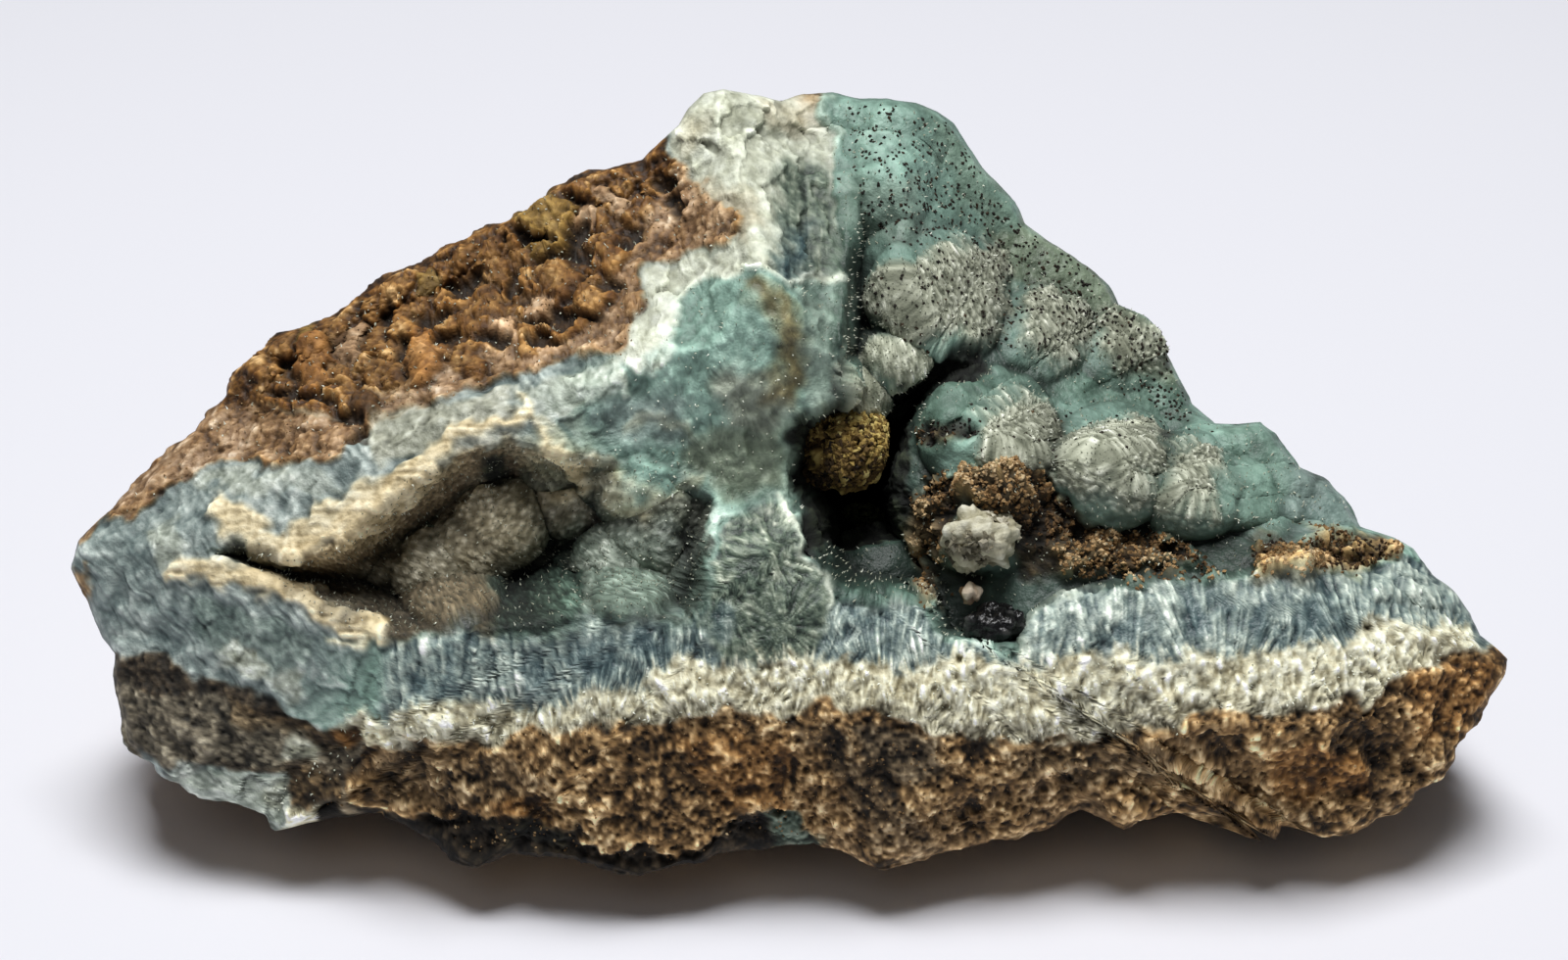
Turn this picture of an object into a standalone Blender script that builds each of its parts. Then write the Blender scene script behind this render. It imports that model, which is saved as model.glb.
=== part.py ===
"""Hemimorphite on limonite: one broken piece of vein, about 120 mm wide.

The stone is one solid. Its near side is read as a relief seen from a fixed eye point, because a
broken face is described by how far each place stands forward. Its far side is cut by planes, as
fracture leaves it, and its base is flat where it rests. The outline joins the two sides.

Frame: +X right, +Y away from the viewer, +Z up. The origin is the middle of the box round the
stone, at the level it rests on. Lengths are metres. Places on the near side are given as points of
a 1600 by 980 view from the eye point, and their heights in millimetres towards the eye.
"""

import math

import bmesh
import bpy
import numpy as np

# Driving dimensions
STONE_WIDTH = 0.120
VIEW_PITCH = math.radians(30.0)
EYE_DISTANCE_IN_VIEW_UNITS = 3040.0
VIEW_CENTRE = (800.0, 490.0)
MM = 0.001

# The reference point is what the eye looks at. It sits above and in front of the base's middle.
REFERENCE_POINT = np.array([-0.0004, -0.0116, 0.0318])

# Grid of each side: cells across, cells up, and how much closer its rings lie near the rim
CELLS_ACROSS = 64
CELLS_UP = 36
RIM_CROWDING = 0.4

# Outline of the stone, clockwise from its left tip: view x, view y, rim height in millimetres
OUTLINE = [
    (72, 580, -4), (80, 552, -4), (100, 530, -5), (130, 503, -6), (166, 466, -7), (200, 436, -8),
    (226, 408, -9), (236, 384, -9), (256, 361, -10), (286, 341, -10), (344, 322, -11), (366, 299, -11),
    (396, 281, -11), (430, 267, -12), (446, 254, -12), (476, 240, -12), (510, 227, -12), (536, 214, -12),
    (562, 194, -12), (594, 179, -12), (655, 163, -12), (670, 148, -11), (692, 128, -10), (702, 110, -10),
    (718, 96, -10), (738, 91, -10), (775, 97, -12), (797, 103, -14), (820, 96, -16), (850, 94, -17),
    (878, 101, -17), (905, 100, -16), (935, 105, -16), (956, 113, -17), (973, 127, -18), (988, 150, -18),
    (1003, 172, -18), (1036, 206, -19), (1046, 228, -19), (1072, 246, -19), (1112, 273, -19),
    (1131, 291, -19), (1141, 311, -19), (1168, 323, -18), (1182, 337, -18), (1190, 360, -18),
    (1204, 386, -17), (1216, 412, -16), (1240, 432, -14), (1262, 433, -12), (1285, 431, -11),
    (1301, 441, -10), (1312, 459, -10), (1326, 477, -10), (1352, 487, -9), (1372, 508, -9),
    (1388, 538, -8), (1424, 549, -7), (1442, 560, -6), (1464, 588, -5), (1487, 607, -4), (1502, 628, -4),
    (1510, 648, -3), (1537, 672, -3), (1536, 688, -3), (1512, 726, -3), (1504, 748, -3), (1489, 766, -3),
    (1479, 791, -3), (1450, 812, -2), (1412, 834, -2), (1384, 848, -2), (1350, 856, -2), (1326, 845, -2),
    (1310, 844, -1), (1298, 856, -1), (1285, 857, -1), (1266, 835, -1), (1205, 831, -1), (1172, 838, 0),
    (1146, 845, 0), (1106, 828, 0), (1076, 842, 0), (1030, 857, 0), (990, 868, 0), (940, 876, 1),
    (896, 886, 2), (872, 875, 1), (830, 860, 0), (790, 866, 0), (735, 870, 1), (710, 882, 2),
    (652, 893, 2.5), (600, 882, 2), (545, 877, 2), (522, 871, 1), (486, 886, 2), (460, 876, 1),
    (426, 850, 0), (390, 828, -1), (345, 833, -1), (300, 843, -1), (284, 846, -1), (268, 834, -1),
    (226, 820, -2), (188, 811, -2), (146, 776, -3), (130, 758, -3), (120, 715, -3), (116, 690, -3),
    (118, 668, -3), (104, 650, -4), (90, 612, -4),
]
OUTLINE_CENTRE = (830.0, 540.0)
OUTLINE_STRETCH = (730.0, 400.0)

# Heights of the broken front, the brown flank and the middle mass: view x, view y, millimetres
SHELL_STATIONS = [
    (200, 760, 0.5), (330, 790, 1.5), (480, 840, 3.5), (650, 855, 4), (820, 830, 3.5), (900, 850, 4),
    (1080, 805, 3), (1280, 805, 2), (1430, 780, 0), (250, 700, 1.5), (480, 780, 5), (650, 790, 6),
    (850, 780, 6), (1050, 765, 5), (1250, 755, 4), (1450, 710, 0), (420, 745, 6), (600, 725, 7),
    (800, 705, 7), (1000, 715, 6.5), (1200, 700, 5.5), (1400, 670, 2.5), (1500, 665, -1),
    (150, 610, 0), (260, 640, 3), (400, 690, 6), (550, 670, 7), (680, 660, 7), (800, 650, 6.5),
    (900, 650, 6), (1100, 640, 5), (1250, 625, 4), (1400, 600, 1.5), (1480, 630, -1.5),
    (350, 640, 5), (570, 625, 7), (700, 628, 6.5), (770, 560, 5), (1120, 600, 3.5), (1250, 590, 2.5),
    (1380, 568, 0), (120, 550, -1), (180, 520, 0), (300, 500, 2), (400, 460, 3), (500, 420, 3.5),
    (600, 370, 4), (680, 310, 4), (760, 240, 2), (800, 180, 0), (740, 140, -4), (200, 470, -3),
    (300, 430, 0), (300, 380, -4), (400, 350, -3.5), (500, 300, -4), (600, 250, -4), (680, 200, -5),
    (600, 205, -8), (450, 280, -8), (560, 320, 0), (640, 420, 3), (720, 350, 4.5), (800, 320, 4),
    (840, 380, 2), (760, 430, 3), (700, 470, 2), (790, 490, 1), (60, 700, -4), (1560, 760, -5),
    (1560, 600, -8), (850, 60, -18), (1000, 150, -12), (1200, 350, -12),
]

# Floors behind the two openings
LINING_STATIONS = [
    (240, 570, -3), (330, 590, -7), (430, 600, -7), (520, 560, -8), (600, 560, -7), (690, 590, -6),
    (640, 500, -3), (740, 540, -5), (560, 470, -3), (450, 500, -6), (840, 540, -24), (905, 430, -26),
    (970, 386, -24), (900, 600, -9), (880, 350, -14), (880, 140, -13), (940, 200, -12), (1000, 260, -11),
    (1060, 330, -11), (1130, 370, -12), (1200, 420, -13), (1010, 470, -5), (1130, 500, -5),
    (1240, 520, -5), (1350, 530, -7), (1000, 600, -1), (1100, 590, 0), (950, 560, -6), (1040, 620, 1),
    (870, 220, -18), (866, 320, -20), (1240, 570, 0), (1340, 555, -2), (860, 110, -15),
]

# Edges of the places where the shell is open: a closed line of view x, view y
LEFT_VUG_EDGE = [
    (216, 566), (250, 556), (300, 572), (345, 560), (366, 532), (410, 500), (455, 470), (520, 448),
    (570, 462), (620, 470), (680, 480), (730, 510), (722, 560), (716, 604), (700, 630), (600, 628),
    (500, 642), (400, 648), (345, 628), (285, 600),
]
RIGHT_OPENING_EDGE = [
    (838, 20), (842, 130), (853, 190), (855, 290), (858, 350), (850, 410), (808, 425), (802, 500),
    (822, 530), (840, 590), (862, 612), (944, 620), (962, 655), (1040, 660), (1056, 632), (1088, 612),
    (1150, 598), (1260, 588), (1300, 572), (1350, 556), (1410, 542), (1700, 480), (1700, 20),
]
OPENING_FALL_MM_PER_UNIT = 0.32

# Rounded growths that line the openings: view x, view y, radius in view units, height in millimetres
GROWTHS = [
    (425, 590, 78, -1.5), (502, 535, 80, -1.0), (350, 588, 46, -4), (565, 600, 55, -4), (640, 588, 82, -0.5),
    (692, 520, 85, 1.5), (590, 505, 62, -1), (570, 440, 62, 2), (392, 540, 52, -2), (655, 455, 85, 3),
    (900, 600, 64, -3.5), (855, 456, 46, -2), (905, 372, 42, -5), (868, 408, 40, -5),
    (1010, 462, 90, -0.5), (960, 505, 60, -2), (1130, 490, 84, -0.5), (1225, 512, 86, -1),
    (1305, 500, 78, -4), (1358, 532, 44, -5), (1000, 552, 42, 4), (1012, 536, 64, 2), (1016, 640, 34, 4),
    (925, 190, 112, -9), (1000, 235, 105, -9), (962, 310, 104, -5), (1075, 345, 92, -6),
    (1150, 385, 72, -7.5), (1100, 290, 62, -10), (882, 140, 72, -12), (1198, 412, 42, -10),
]

# Planes that cut the far side: azimuth from +Y towards +X, elevation, point from the reference point
FAR_CUTS = [
    (0, 22, (0, 0.041, -0.016)), (34, 16, (0.034, 0.031, -0.016)), (-38, 20, (-0.034, 0.029, -0.016)),
    (68, 12, (0.056, 0.010, -0.016)), (-70, 14, (-0.057, 0.006, -0.014)), (12, 54, (0.006, 0.030, 0.018)),
    (-28, 46, (-0.024, 0.026, 0.009)), (44, 42, (0.028, 0.024, 0.006)), (0, -24, (0, 0.040, -0.024)),
    (40, -20, (0.040, 0.024, -0.024)), (-45, -20, (-0.042, 0.020, -0.024)),
    (180, -66, (0, -0.003, -0.0318)), (90, -76, (0.034, 0.004, -0.0318)), (-90, -74, (-0.034, 0.004, -0.0318)),
]

FRONT_ROUNDING_MM = 3.0
BACK_ROUNDING_MM = 5.0
BACK_STEEPNESS = 3.2
BLEND_MM = 1.2
GROUND_BLEND_MM = 1.6
LEAST_THICKNESS_MM = 0.8

RIGHTWARD = np.array([1.0, 0.0, 0.0])
UPWARD = np.array([0.0, math.sin(VIEW_PITCH), math.cos(VIEW_PITCH)])
FORWARD = np.array([0.0, math.cos(VIEW_PITCH), -math.sin(VIEW_PITCH)])

outline = np.array(OUTLINE, float)
metres_per_unit = STONE_WIDTH / (outline[:, 0].max() - outline[:, 0].min())
eye_distance = EYE_DISTANCE_IN_VIEW_UNITS * metres_per_unit
eye = REFERENCE_POINT - FORWARD * eye_distance


def sight_line(x, y):
    """Directions from the eye through view points, with one metre of depth each."""
    across = (x - VIEW_CENTRE[0]) / EYE_DISTANCE_IN_VIEW_UNITS
    up = (VIEW_CENTRE[1] - y) / EYE_DISTANCE_IN_VIEW_UNITS
    return FORWARD + across[..., None] * RIGHTWARD + up[..., None] * UPWARD


def place(x, y, height_mm):
    """Points on the sight lines, at heights towards the eye from the reference plane."""
    return eye + sight_line(x, y) * (eye_distance - height_mm * MM)[..., None]


def outline_at(angle):
    """The outline's distance from its centre and its rim height, in each direction."""
    across = (outline[:, 0] - OUTLINE_CENTRE[0]) / OUTLINE_STRETCH[0]
    down = (outline[:, 1] - OUTLINE_CENTRE[1]) / OUTLINE_STRETCH[1]
    angles = np.arctan2(down, across)
    reach = np.hypot(across, down)
    turn = 2 * math.pi
    return np.interp(angle, angles, reach, period=turn), np.interp(angle, angles, outline[:, 2], period=turn)


def square_to_disc(s, t):
    """Concentric squares become concentric circles, each kept at its own distance from the middle."""
    wide = np.abs(s) >= np.abs(t)
    big = np.where(wide, s, t)
    small = np.where(wide, t, s)
    safe = np.where(big == 0, 1.0, big)
    quarter = math.pi / 4 * small / safe
    angle = np.where(wide, quarter, math.pi / 2 - quarter)
    return big * np.cos(angle), big * np.sin(angle)


def spread(x, y, stations, softness=45.0):
    """A smooth surface through scattered heights: a sum of cones with rounded tips."""
    known = np.array(stations, float)
    gaps = np.hypot(known[:, None, 0] - known[None, :, 0], known[:, None, 1] - known[None, :, 1])
    system = np.sqrt(gaps**2 + softness**2)
    mean = known[:, 2].mean()
    weights = np.linalg.solve(system, known[:, 2] - mean)
    away = np.hypot(x[..., None] - known[:, 0], y[..., None] - known[:, 1])
    return mean + np.sqrt(away**2 + softness**2) @ weights


def distance_inside(x, y, line):
    """Distance to a closed line, positive inside it and negative outside."""
    a = np.array([p[:2] for p in line], float)
    b = np.roll(a, -1, axis=0)
    nearest = np.full(x.shape, np.inf)
    inside = np.zeros(x.shape, bool)
    for (ax, ay), (bx, by) in zip(a, b):
        run, drop = bx - ax, by - ay
        share = np.clip(((x - ax) * run + (y - ay) * drop) / (run**2 + drop**2), 0, 1)
        nearest = np.minimum(nearest, np.hypot(x - ax - share * run, y - ay - share * drop))
        if by != ay:
            crosses = ((ay > y) != (by > y)) & (x < run * (y - ay) / drop + ax)
            inside ^= crosses
    return np.where(inside, nearest, -nearest)


def smooth_max(a, b, blend):
    """The larger of two heights, with the crease between them filled over the blend height."""
    share = np.clip(0.5 + 0.5 * (a - b) / blend, 0, 1)
    return b + (a - b) * share + blend * share * (1 - share)


def rounding(depth_mm, radius):
    """A quarter circle rising from the rim, then a straight slope."""
    inner = np.clip(depth_mm, 0, radius)
    return np.sqrt(2 * radius * inner - inner**2) + np.maximum(depth_mm - radius, 0)


def near_heights(x, y, rim, depth_mm):
    """Heights of the near side: the shell with its openings, and the growths that line them."""
    shell = spread(x, y, SHELL_STATIONS)
    for edge in (LEFT_VUG_EDGE, RIGHT_OPENING_EDGE):
        shell -= OPENING_FALL_MM_PER_UNIT * np.maximum(distance_inside(x, y, edge), 0)
    height = smooth_max(shell, spread(x, y, LINING_STATIONS), BLEND_MM)
    for centre_x, centre_y, radius, top in GROWTHS:
        radius_mm = radius * metres_per_unit / MM
        share = np.clip(1 - ((x - centre_x) ** 2 + (y - centre_y) ** 2) / radius**2, 0, None)
        dome = np.where(share > 0, top - radius_mm * (1 - np.sqrt(share)), -60.0)
        height = smooth_max(height, dome, BLEND_MM)
    return -smooth_max(-height, -(rim + rounding(depth_mm, FRONT_ROUNDING_MM)), BLEND_MM / 2)


def far_heights(x, y, rim, depth_mm):
    """Heights of the far side: the first of the far cuts and the ground that a sight line leaves by."""
    sight = sight_line(x, y)
    height = rim - rounding(depth_mm, BACK_ROUNDING_MM) * BACK_STEEPNESS
    for azimuth, elevation, offset in FAR_CUTS:
        turn, lift = math.radians(azimuth), math.radians(elevation)
        normal = np.array([math.sin(turn) * math.cos(lift), math.cos(turn) * math.cos(lift), math.sin(lift)])
        rate = sight @ normal
        along = (REFERENCE_POINT + np.array(offset) - eye) @ normal / np.where(rate > 0.05, rate, 1.0)
        cut = np.where(rate > 0.05, (eye_distance - along) / MM, -200.0)
        height = smooth_max(height, cut, BLEND_MM)
    ground = (eye_distance + eye[2] / sight[..., 2]) / MM
    return smooth_max(height, ground, GROUND_BLEND_MM)


def softened(height, on_rim):
    """Each height averaged with its four neighbours, with the rim left as it is."""
    around = height[:-2, 1:-1] + height[2:, 1:-1] + height[1:-1, :-2] + height[1:-1, 2:]
    result = height.copy()
    result[1:-1, 1:-1] = (around + 2 * height[1:-1, 1:-1]) / 6
    return np.where(on_rim, height, result)


def both_sides():
    """The near and far sides on one grid of view points, sewn along the outline."""
    s, t = np.meshgrid(np.linspace(-1, 1, CELLS_ACROSS + 1), np.linspace(-1, 1, CELLS_UP + 1))
    disc_x, disc_y = square_to_disc(s, t)
    angle = np.arctan2(disc_y, disc_x)
    ring = np.hypot(disc_x, disc_y).clip(0, 1)
    share = ring + RIM_CROWDING * ring * (1 - ring)
    reach, rim = outline_at(angle)
    x = OUTLINE_CENTRE[0] + share * reach * np.cos(angle) * OUTLINE_STRETCH[0]
    y = OUTLINE_CENTRE[1] + share * reach * np.sin(angle) * OUTLINE_STRETCH[1]
    depth_mm = np.maximum(distance_inside(x, y, OUTLINE), 0) * metres_per_unit / MM
    on_rim = (np.abs(s) == 1) | (np.abs(t) == 1)
    depth_mm[on_rim] = 0
    near = softened(np.where(on_rim, rim, near_heights(x, y, rim, depth_mm)), on_rim)
    far = np.where(on_rim, rim, far_heights(x, y, rim, depth_mm))
    far = np.where(on_rim, rim, np.minimum(far, near - LEAST_THICKNESS_MM))
    return place(x, y, near), place(x, y, far), on_rim


def build_stone():
    """One closed mesh: near faces, far faces and a shared rim."""
    near, far, on_rim = both_sides()
    mesh = bmesh.new()
    rows, columns = on_rim.shape
    front = [[mesh.verts.new(near[r, c]) for c in range(columns)] for r in range(rows)]
    back = [
        [front[r][c] if on_rim[r, c] else mesh.verts.new(far[r, c]) for c in range(columns)]
        for r in range(rows)
    ]
    for r in range(rows - 1):
        for c in range(columns - 1):
            corners = [(r, c), (r + 1, c), (r + 1, c + 1), (r, c + 1)]
            if (r < rows // 2) != (c < columns // 2):
                corners = corners[1:] + corners[:1]
            for triangle in (corners[:3], [corners[0], *corners[2:]]):
                mesh.faces.new([front[i][j] for i, j in triangle])
                mesh.faces.new([back[i][j] for i, j in reversed(triangle)])
    bmesh.ops.recalc_face_normals(mesh, faces=mesh.faces)
    data = bpy.data.meshes.new("hemimorphite_stone")
    mesh.to_mesh(data)
    mesh.free()
    data.polygons.foreach_set("use_smooth", np.ones(len(data.polygons), bool))
    return data


def stone_material():
    """Dull blue-green crystal, as the whole stone's one finish."""
    material = bpy.data.materials.new("hemimorphite")
    material.use_nodes = True
    shader = material.node_tree.nodes["Principled BSDF"]
    shader.inputs["Base Color"].default_value = (0.25, 0.32, 0.28, 1)
    shader.inputs["Roughness"].default_value = 0.6
    shader.inputs["Metallic"].default_value = 0.0
    return material


for leftover in list(bpy.data.objects):
    bpy.data.objects.remove(leftover)

stone = bpy.data.objects.new("hemimorphite_stone", build_stone())
stone.data.materials.append(stone_material())
bpy.context.scene.collection.objects.link(stone)
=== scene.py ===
# %% [markdown]
# # A piece of hemimorphite vein
# The object is one broken stone, about 120 mm wide: brown limonite below, a band of white blades and
# a band of blue fibres across it, and above them two open hollows lined with rounded, furry growths.
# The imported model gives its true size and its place, and everything here is worked out in that frame.
# Most of the stone is one surface seen from one side, so it is made as a fine relief with numpy and
# painted point by point. Crystals, fur and specks that stand off it are separate meshes.

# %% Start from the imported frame
import itertools
import math

import bpy
import numpy as np
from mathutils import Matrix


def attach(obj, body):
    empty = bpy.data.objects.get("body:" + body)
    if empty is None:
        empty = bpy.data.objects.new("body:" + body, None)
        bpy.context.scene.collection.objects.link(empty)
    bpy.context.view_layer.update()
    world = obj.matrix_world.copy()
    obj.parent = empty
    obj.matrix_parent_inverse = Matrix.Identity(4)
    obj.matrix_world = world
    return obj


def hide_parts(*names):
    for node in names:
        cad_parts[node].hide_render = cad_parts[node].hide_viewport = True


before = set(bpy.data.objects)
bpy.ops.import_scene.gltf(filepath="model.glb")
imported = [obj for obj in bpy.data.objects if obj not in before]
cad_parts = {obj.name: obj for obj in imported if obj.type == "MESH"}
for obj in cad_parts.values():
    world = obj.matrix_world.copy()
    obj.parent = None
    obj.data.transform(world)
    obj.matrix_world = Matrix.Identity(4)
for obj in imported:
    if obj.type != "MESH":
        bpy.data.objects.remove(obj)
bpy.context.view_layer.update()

STONE = "hemimorphite_stone"

# %% [markdown]
# ## The eye point and the outline
# A broken face is easiest to describe as a relief: how far each place stands towards a fixed eye.
# One could sculpt it freely, but then the outline would drift from the model's. So the model's own
# eye point and outline are repeated here, and a place is a view point plus a height in millimetres.

# %% Eye point, view and outline
STONE_WIDTH = 0.120
VIEW_PITCH = math.radians(30.0)
EYE_DISTANCE_IN_VIEW_UNITS = 3040.0
VIEW_CENTRE = (800.0, 490.0)
VIEW_WIDTH = 1600.0
MM = 0.001
REFERENCE_POINT = np.array([-0.0004, -0.0116, 0.0318])

OUTLINE = [
    (72, 580, -4), (80, 552, -4), (100, 530, -5), (130, 503, -6), (166, 466, -7), (200, 436, -8),
    (226, 408, -9), (236, 384, -9), (256, 361, -10), (286, 341, -10), (344, 322, -11), (366, 299, -11),
    (396, 281, -11), (430, 267, -12), (446, 254, -12), (476, 240, -12), (510, 227, -12), (536, 214, -12),
    (562, 194, -12), (594, 179, -12), (655, 163, -12), (670, 148, -11), (692, 128, -10), (702, 110, -10),
    (718, 96, -10), (738, 91, -10), (775, 97, -12), (797, 103, -14), (820, 96, -16), (850, 94, -17),
    (878, 101, -17), (905, 100, -16), (935, 105, -16), (956, 113, -17), (973, 127, -18), (988, 150, -18),
    (1003, 172, -18), (1036, 206, -19), (1046, 228, -19), (1072, 246, -19), (1112, 273, -19),
    (1131, 291, -19), (1141, 311, -19), (1168, 323, -18), (1182, 337, -18), (1190, 360, -18),
    (1204, 386, -17), (1216, 412, -16), (1240, 432, -14), (1262, 433, -12), (1285, 431, -11),
    (1301, 441, -10), (1312, 459, -10), (1326, 477, -10), (1352, 487, -9), (1372, 508, -9),
    (1388, 538, -8), (1424, 549, -7), (1442, 560, -6), (1464, 588, -5), (1487, 607, -4), (1502, 628, -4),
    (1510, 648, -3), (1537, 672, -3), (1536, 688, -3), (1512, 726, -3), (1504, 748, -3), (1489, 766, -3),
    (1479, 791, -3), (1450, 812, -2), (1412, 834, -2), (1384, 848, -2), (1350, 856, -2), (1326, 845, -2),
    (1310, 844, -1), (1298, 856, -1), (1285, 857, -1), (1266, 835, -1), (1205, 831, -1), (1172, 838, 0),
    (1146, 845, 0), (1106, 828, 0), (1076, 842, 0), (1030, 857, 0), (990, 868, 0), (940, 876, 1),
    (896, 886, 2), (872, 875, 1), (830, 860, 0), (790, 866, 0), (735, 870, 1), (710, 882, 2),
    (652, 893, 2.5), (600, 882, 2), (545, 877, 2), (522, 871, 1), (486, 886, 2), (460, 876, 1),
    (426, 850, 0), (390, 828, -1), (345, 833, -1), (300, 843, -1), (284, 846, -1), (268, 834, -1),
    (226, 820, -2), (188, 811, -2), (146, 776, -3), (130, 758, -3), (120, 715, -3), (116, 690, -3),
    (118, 668, -3), (104, 650, -4), (90, 612, -4),
]
OUTLINE_CENTRE = (830.0, 540.0)
OUTLINE_STRETCH = (730.0, 400.0)

RIGHTWARD = np.array([1.0, 0.0, 0.0])
UPWARD = np.array([0.0, math.sin(VIEW_PITCH), math.cos(VIEW_PITCH)])
FORWARD = np.array([0.0, math.cos(VIEW_PITCH), -math.sin(VIEW_PITCH)])
outline = np.array(OUTLINE, float)
metres_per_unit = STONE_WIDTH / (outline[:, 0].max() - outline[:, 0].min())
mm_per_unit = metres_per_unit / MM
eye_distance = EYE_DISTANCE_IN_VIEW_UNITS * metres_per_unit
eye = REFERENCE_POINT - FORWARD * eye_distance


def sight_line(x, y):
    """Directions from the eye through view points, with one metre of depth each."""
    across = (x - VIEW_CENTRE[0]) / EYE_DISTANCE_IN_VIEW_UNITS
    up = (VIEW_CENTRE[1] - y) / EYE_DISTANCE_IN_VIEW_UNITS
    return FORWARD + across[..., None] * RIGHTWARD + up[..., None] * UPWARD


def place(x, y, height_mm):
    """Points on the sight lines, at heights towards the eye from the reference plane."""
    return eye + sight_line(x, y) * (eye_distance - height_mm * MM)[..., None]


print("eye at", eye.round(4), "and one view unit is", round(mm_per_unit, 4), "mm")

# %% [markdown]
# ## Chance that repeats
# Stone needs irregular shapes at every scale. Blender's own textures can't be read by numpy, so a few
# lines of numpy make them: a number for every whole-number place, blended between places for smooth
# noise, summed at finer and finer scales, or used to scatter points for grains and facets.

# %% Noise, grains and soft steps


def lattice(i, j, k, seed):
    """A repeatable number from 0 to 1 for each whole-number place, by mixing the places' bits."""
    parts = [np.asarray(a).astype(np.int64).astype(np.uint32) for a in (i, j, k)]
    n = parts[0] * np.uint32(73856093) ^ parts[1] * np.uint32(19349663) ^ parts[2] * np.uint32(83492791)
    n = n ^ np.uint32(seed * 40503 + 977)
    n = (n ^ (n >> np.uint32(15))) * np.uint32(2246822519)
    n = (n ^ (n >> np.uint32(13))) * np.uint32(3266489917)
    return ((n ^ (n >> np.uint32(16))) & np.uint32(0xFFFFFF)) / float(0x1000000)


def noise(p, seed=0):
    """Smooth noise from 0 to 1: the eight corners' numbers, blended by a curve that is level at both ends."""
    cell = np.floor(p)
    f = p - cell
    f = f * f * f * (f * (f * 6 - 15) + 10)
    total = 0
    for corner in itertools.product((0, 1), repeat=3):
        weight = 1
        for axis, far in enumerate(corner):
            weight = weight * (f[..., axis] if far else 1 - f[..., axis])
        total = total + weight * lattice(*(cell[..., a] + corner[a] for a in range(3)), seed)
    return total


def fractal(p, octaves=3, seed=0):
    """Noise summed at doubled scales and halved strengths, spread to fill 0 to 1."""
    total, strength, whole = 0, 1.0, 0.0
    for octave in range(octaves):
        total = total + strength * noise(p * 2**octave + 17.3 * octave, seed + octave)
        whole += strength
        strength *= 0.5
    return np.clip((total / whole - 0.5) * 1.6 + 0.5, 0, 1)


def scatter(p, seed=0):
    """One random point in each cube: the nearest one's distance, the next one's, its number and offset."""
    cell = np.floor(p)
    nearest = np.full(p.shape[:-1], 9.0)
    second = nearest.copy()
    number = np.zeros_like(nearest)
    offset = np.zeros_like(p)
    for shift in itertools.product((-1, 0, 1), repeat=3):
        corner = [cell[..., a] + shift[a] for a in range(3)]
        away = np.stack([corner[a] + lattice(*corner, seed + a) - p[..., a] for a in range(3)], -1)
        distance = np.sqrt((away**2).sum(-1))
        closer = distance < nearest
        second = np.where(closer, nearest, np.minimum(second, distance))
        number = np.where(closer, lattice(*corner, seed + 3), number)
        offset = np.where(closer[..., None], away, offset)
        nearest = np.minimum(nearest, distance)
    return nearest, second, number, offset


def step_up(value, low, high):
    """Zero below low, one above high, with a smooth rise between."""
    share = np.clip((value - low) / (high - low), 0, 1)
    return share * share * (3 - 2 * share)


def mix(a, b, share):
    """From a to b by share. Colours and heights both work."""
    share = np.asarray(share)
    if np.ndim(a) > share.ndim or np.ndim(b) > share.ndim:
        share = share[..., None]
    return a + (b - a) * share


def smooth_max(a, b, blend):
    """The larger of two heights, with the crease between them filled over the blend height."""
    share = np.clip(0.5 + 0.5 * (a - b) / blend, 0, 1)
    return b + (a - b) * share + blend * share * (1 - share)


def along(points, at):
    """A line's level at each place along it, from its hand-set points."""
    known = np.array(points, float)
    return np.interp(at, known[:, 0], known[:, 1])


def distance_inside(x, y, line):
    """Distance to a closed line, positive inside it and negative outside."""
    a = np.array([p[:2] for p in line], float)
    b = np.roll(a, -1, axis=0)
    nearest = np.full(x.shape, np.inf)
    inside = np.zeros(x.shape, bool)
    for (ax, ay), (bx, by) in zip(a, b):
        run, drop = bx - ax, by - ay
        share = np.clip(((x - ax) * run + (y - ay) * drop) / (run**2 + drop**2), 0, 1)
        nearest = np.minimum(nearest, (x - ax - share * run) ** 2 + (y - ay - share * drop) ** 2)
        if by != ay:
            inside ^= ((ay > y) != (by > y)) & (x < run * (y - ay) / drop + ax)
    nearest = np.sqrt(nearest)
    return np.where(inside, nearest, -nearest)


def distance_to_stroke(x, y, points):
    """Distance to an open line of straight runs."""
    nearest = np.full(x.shape, np.inf)
    for (ax, ay), (bx, by) in zip(points, points[1:]):
        run, drop = bx - ax, by - ay
        share = np.clip(((x - ax) * run + (y - ay) * drop) / (run**2 + drop**2), 0, 1)
        nearest = np.minimum(nearest, (x - ax - share * run) ** 2 + (y - ay - share * drop) ** 2)
    return np.sqrt(nearest)


probe = np.random.default_rng(1).uniform(0, 50, (2000, 3))
print("noise spans", noise(probe).min().round(2), "to", noise(probe).max().round(2))
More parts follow.
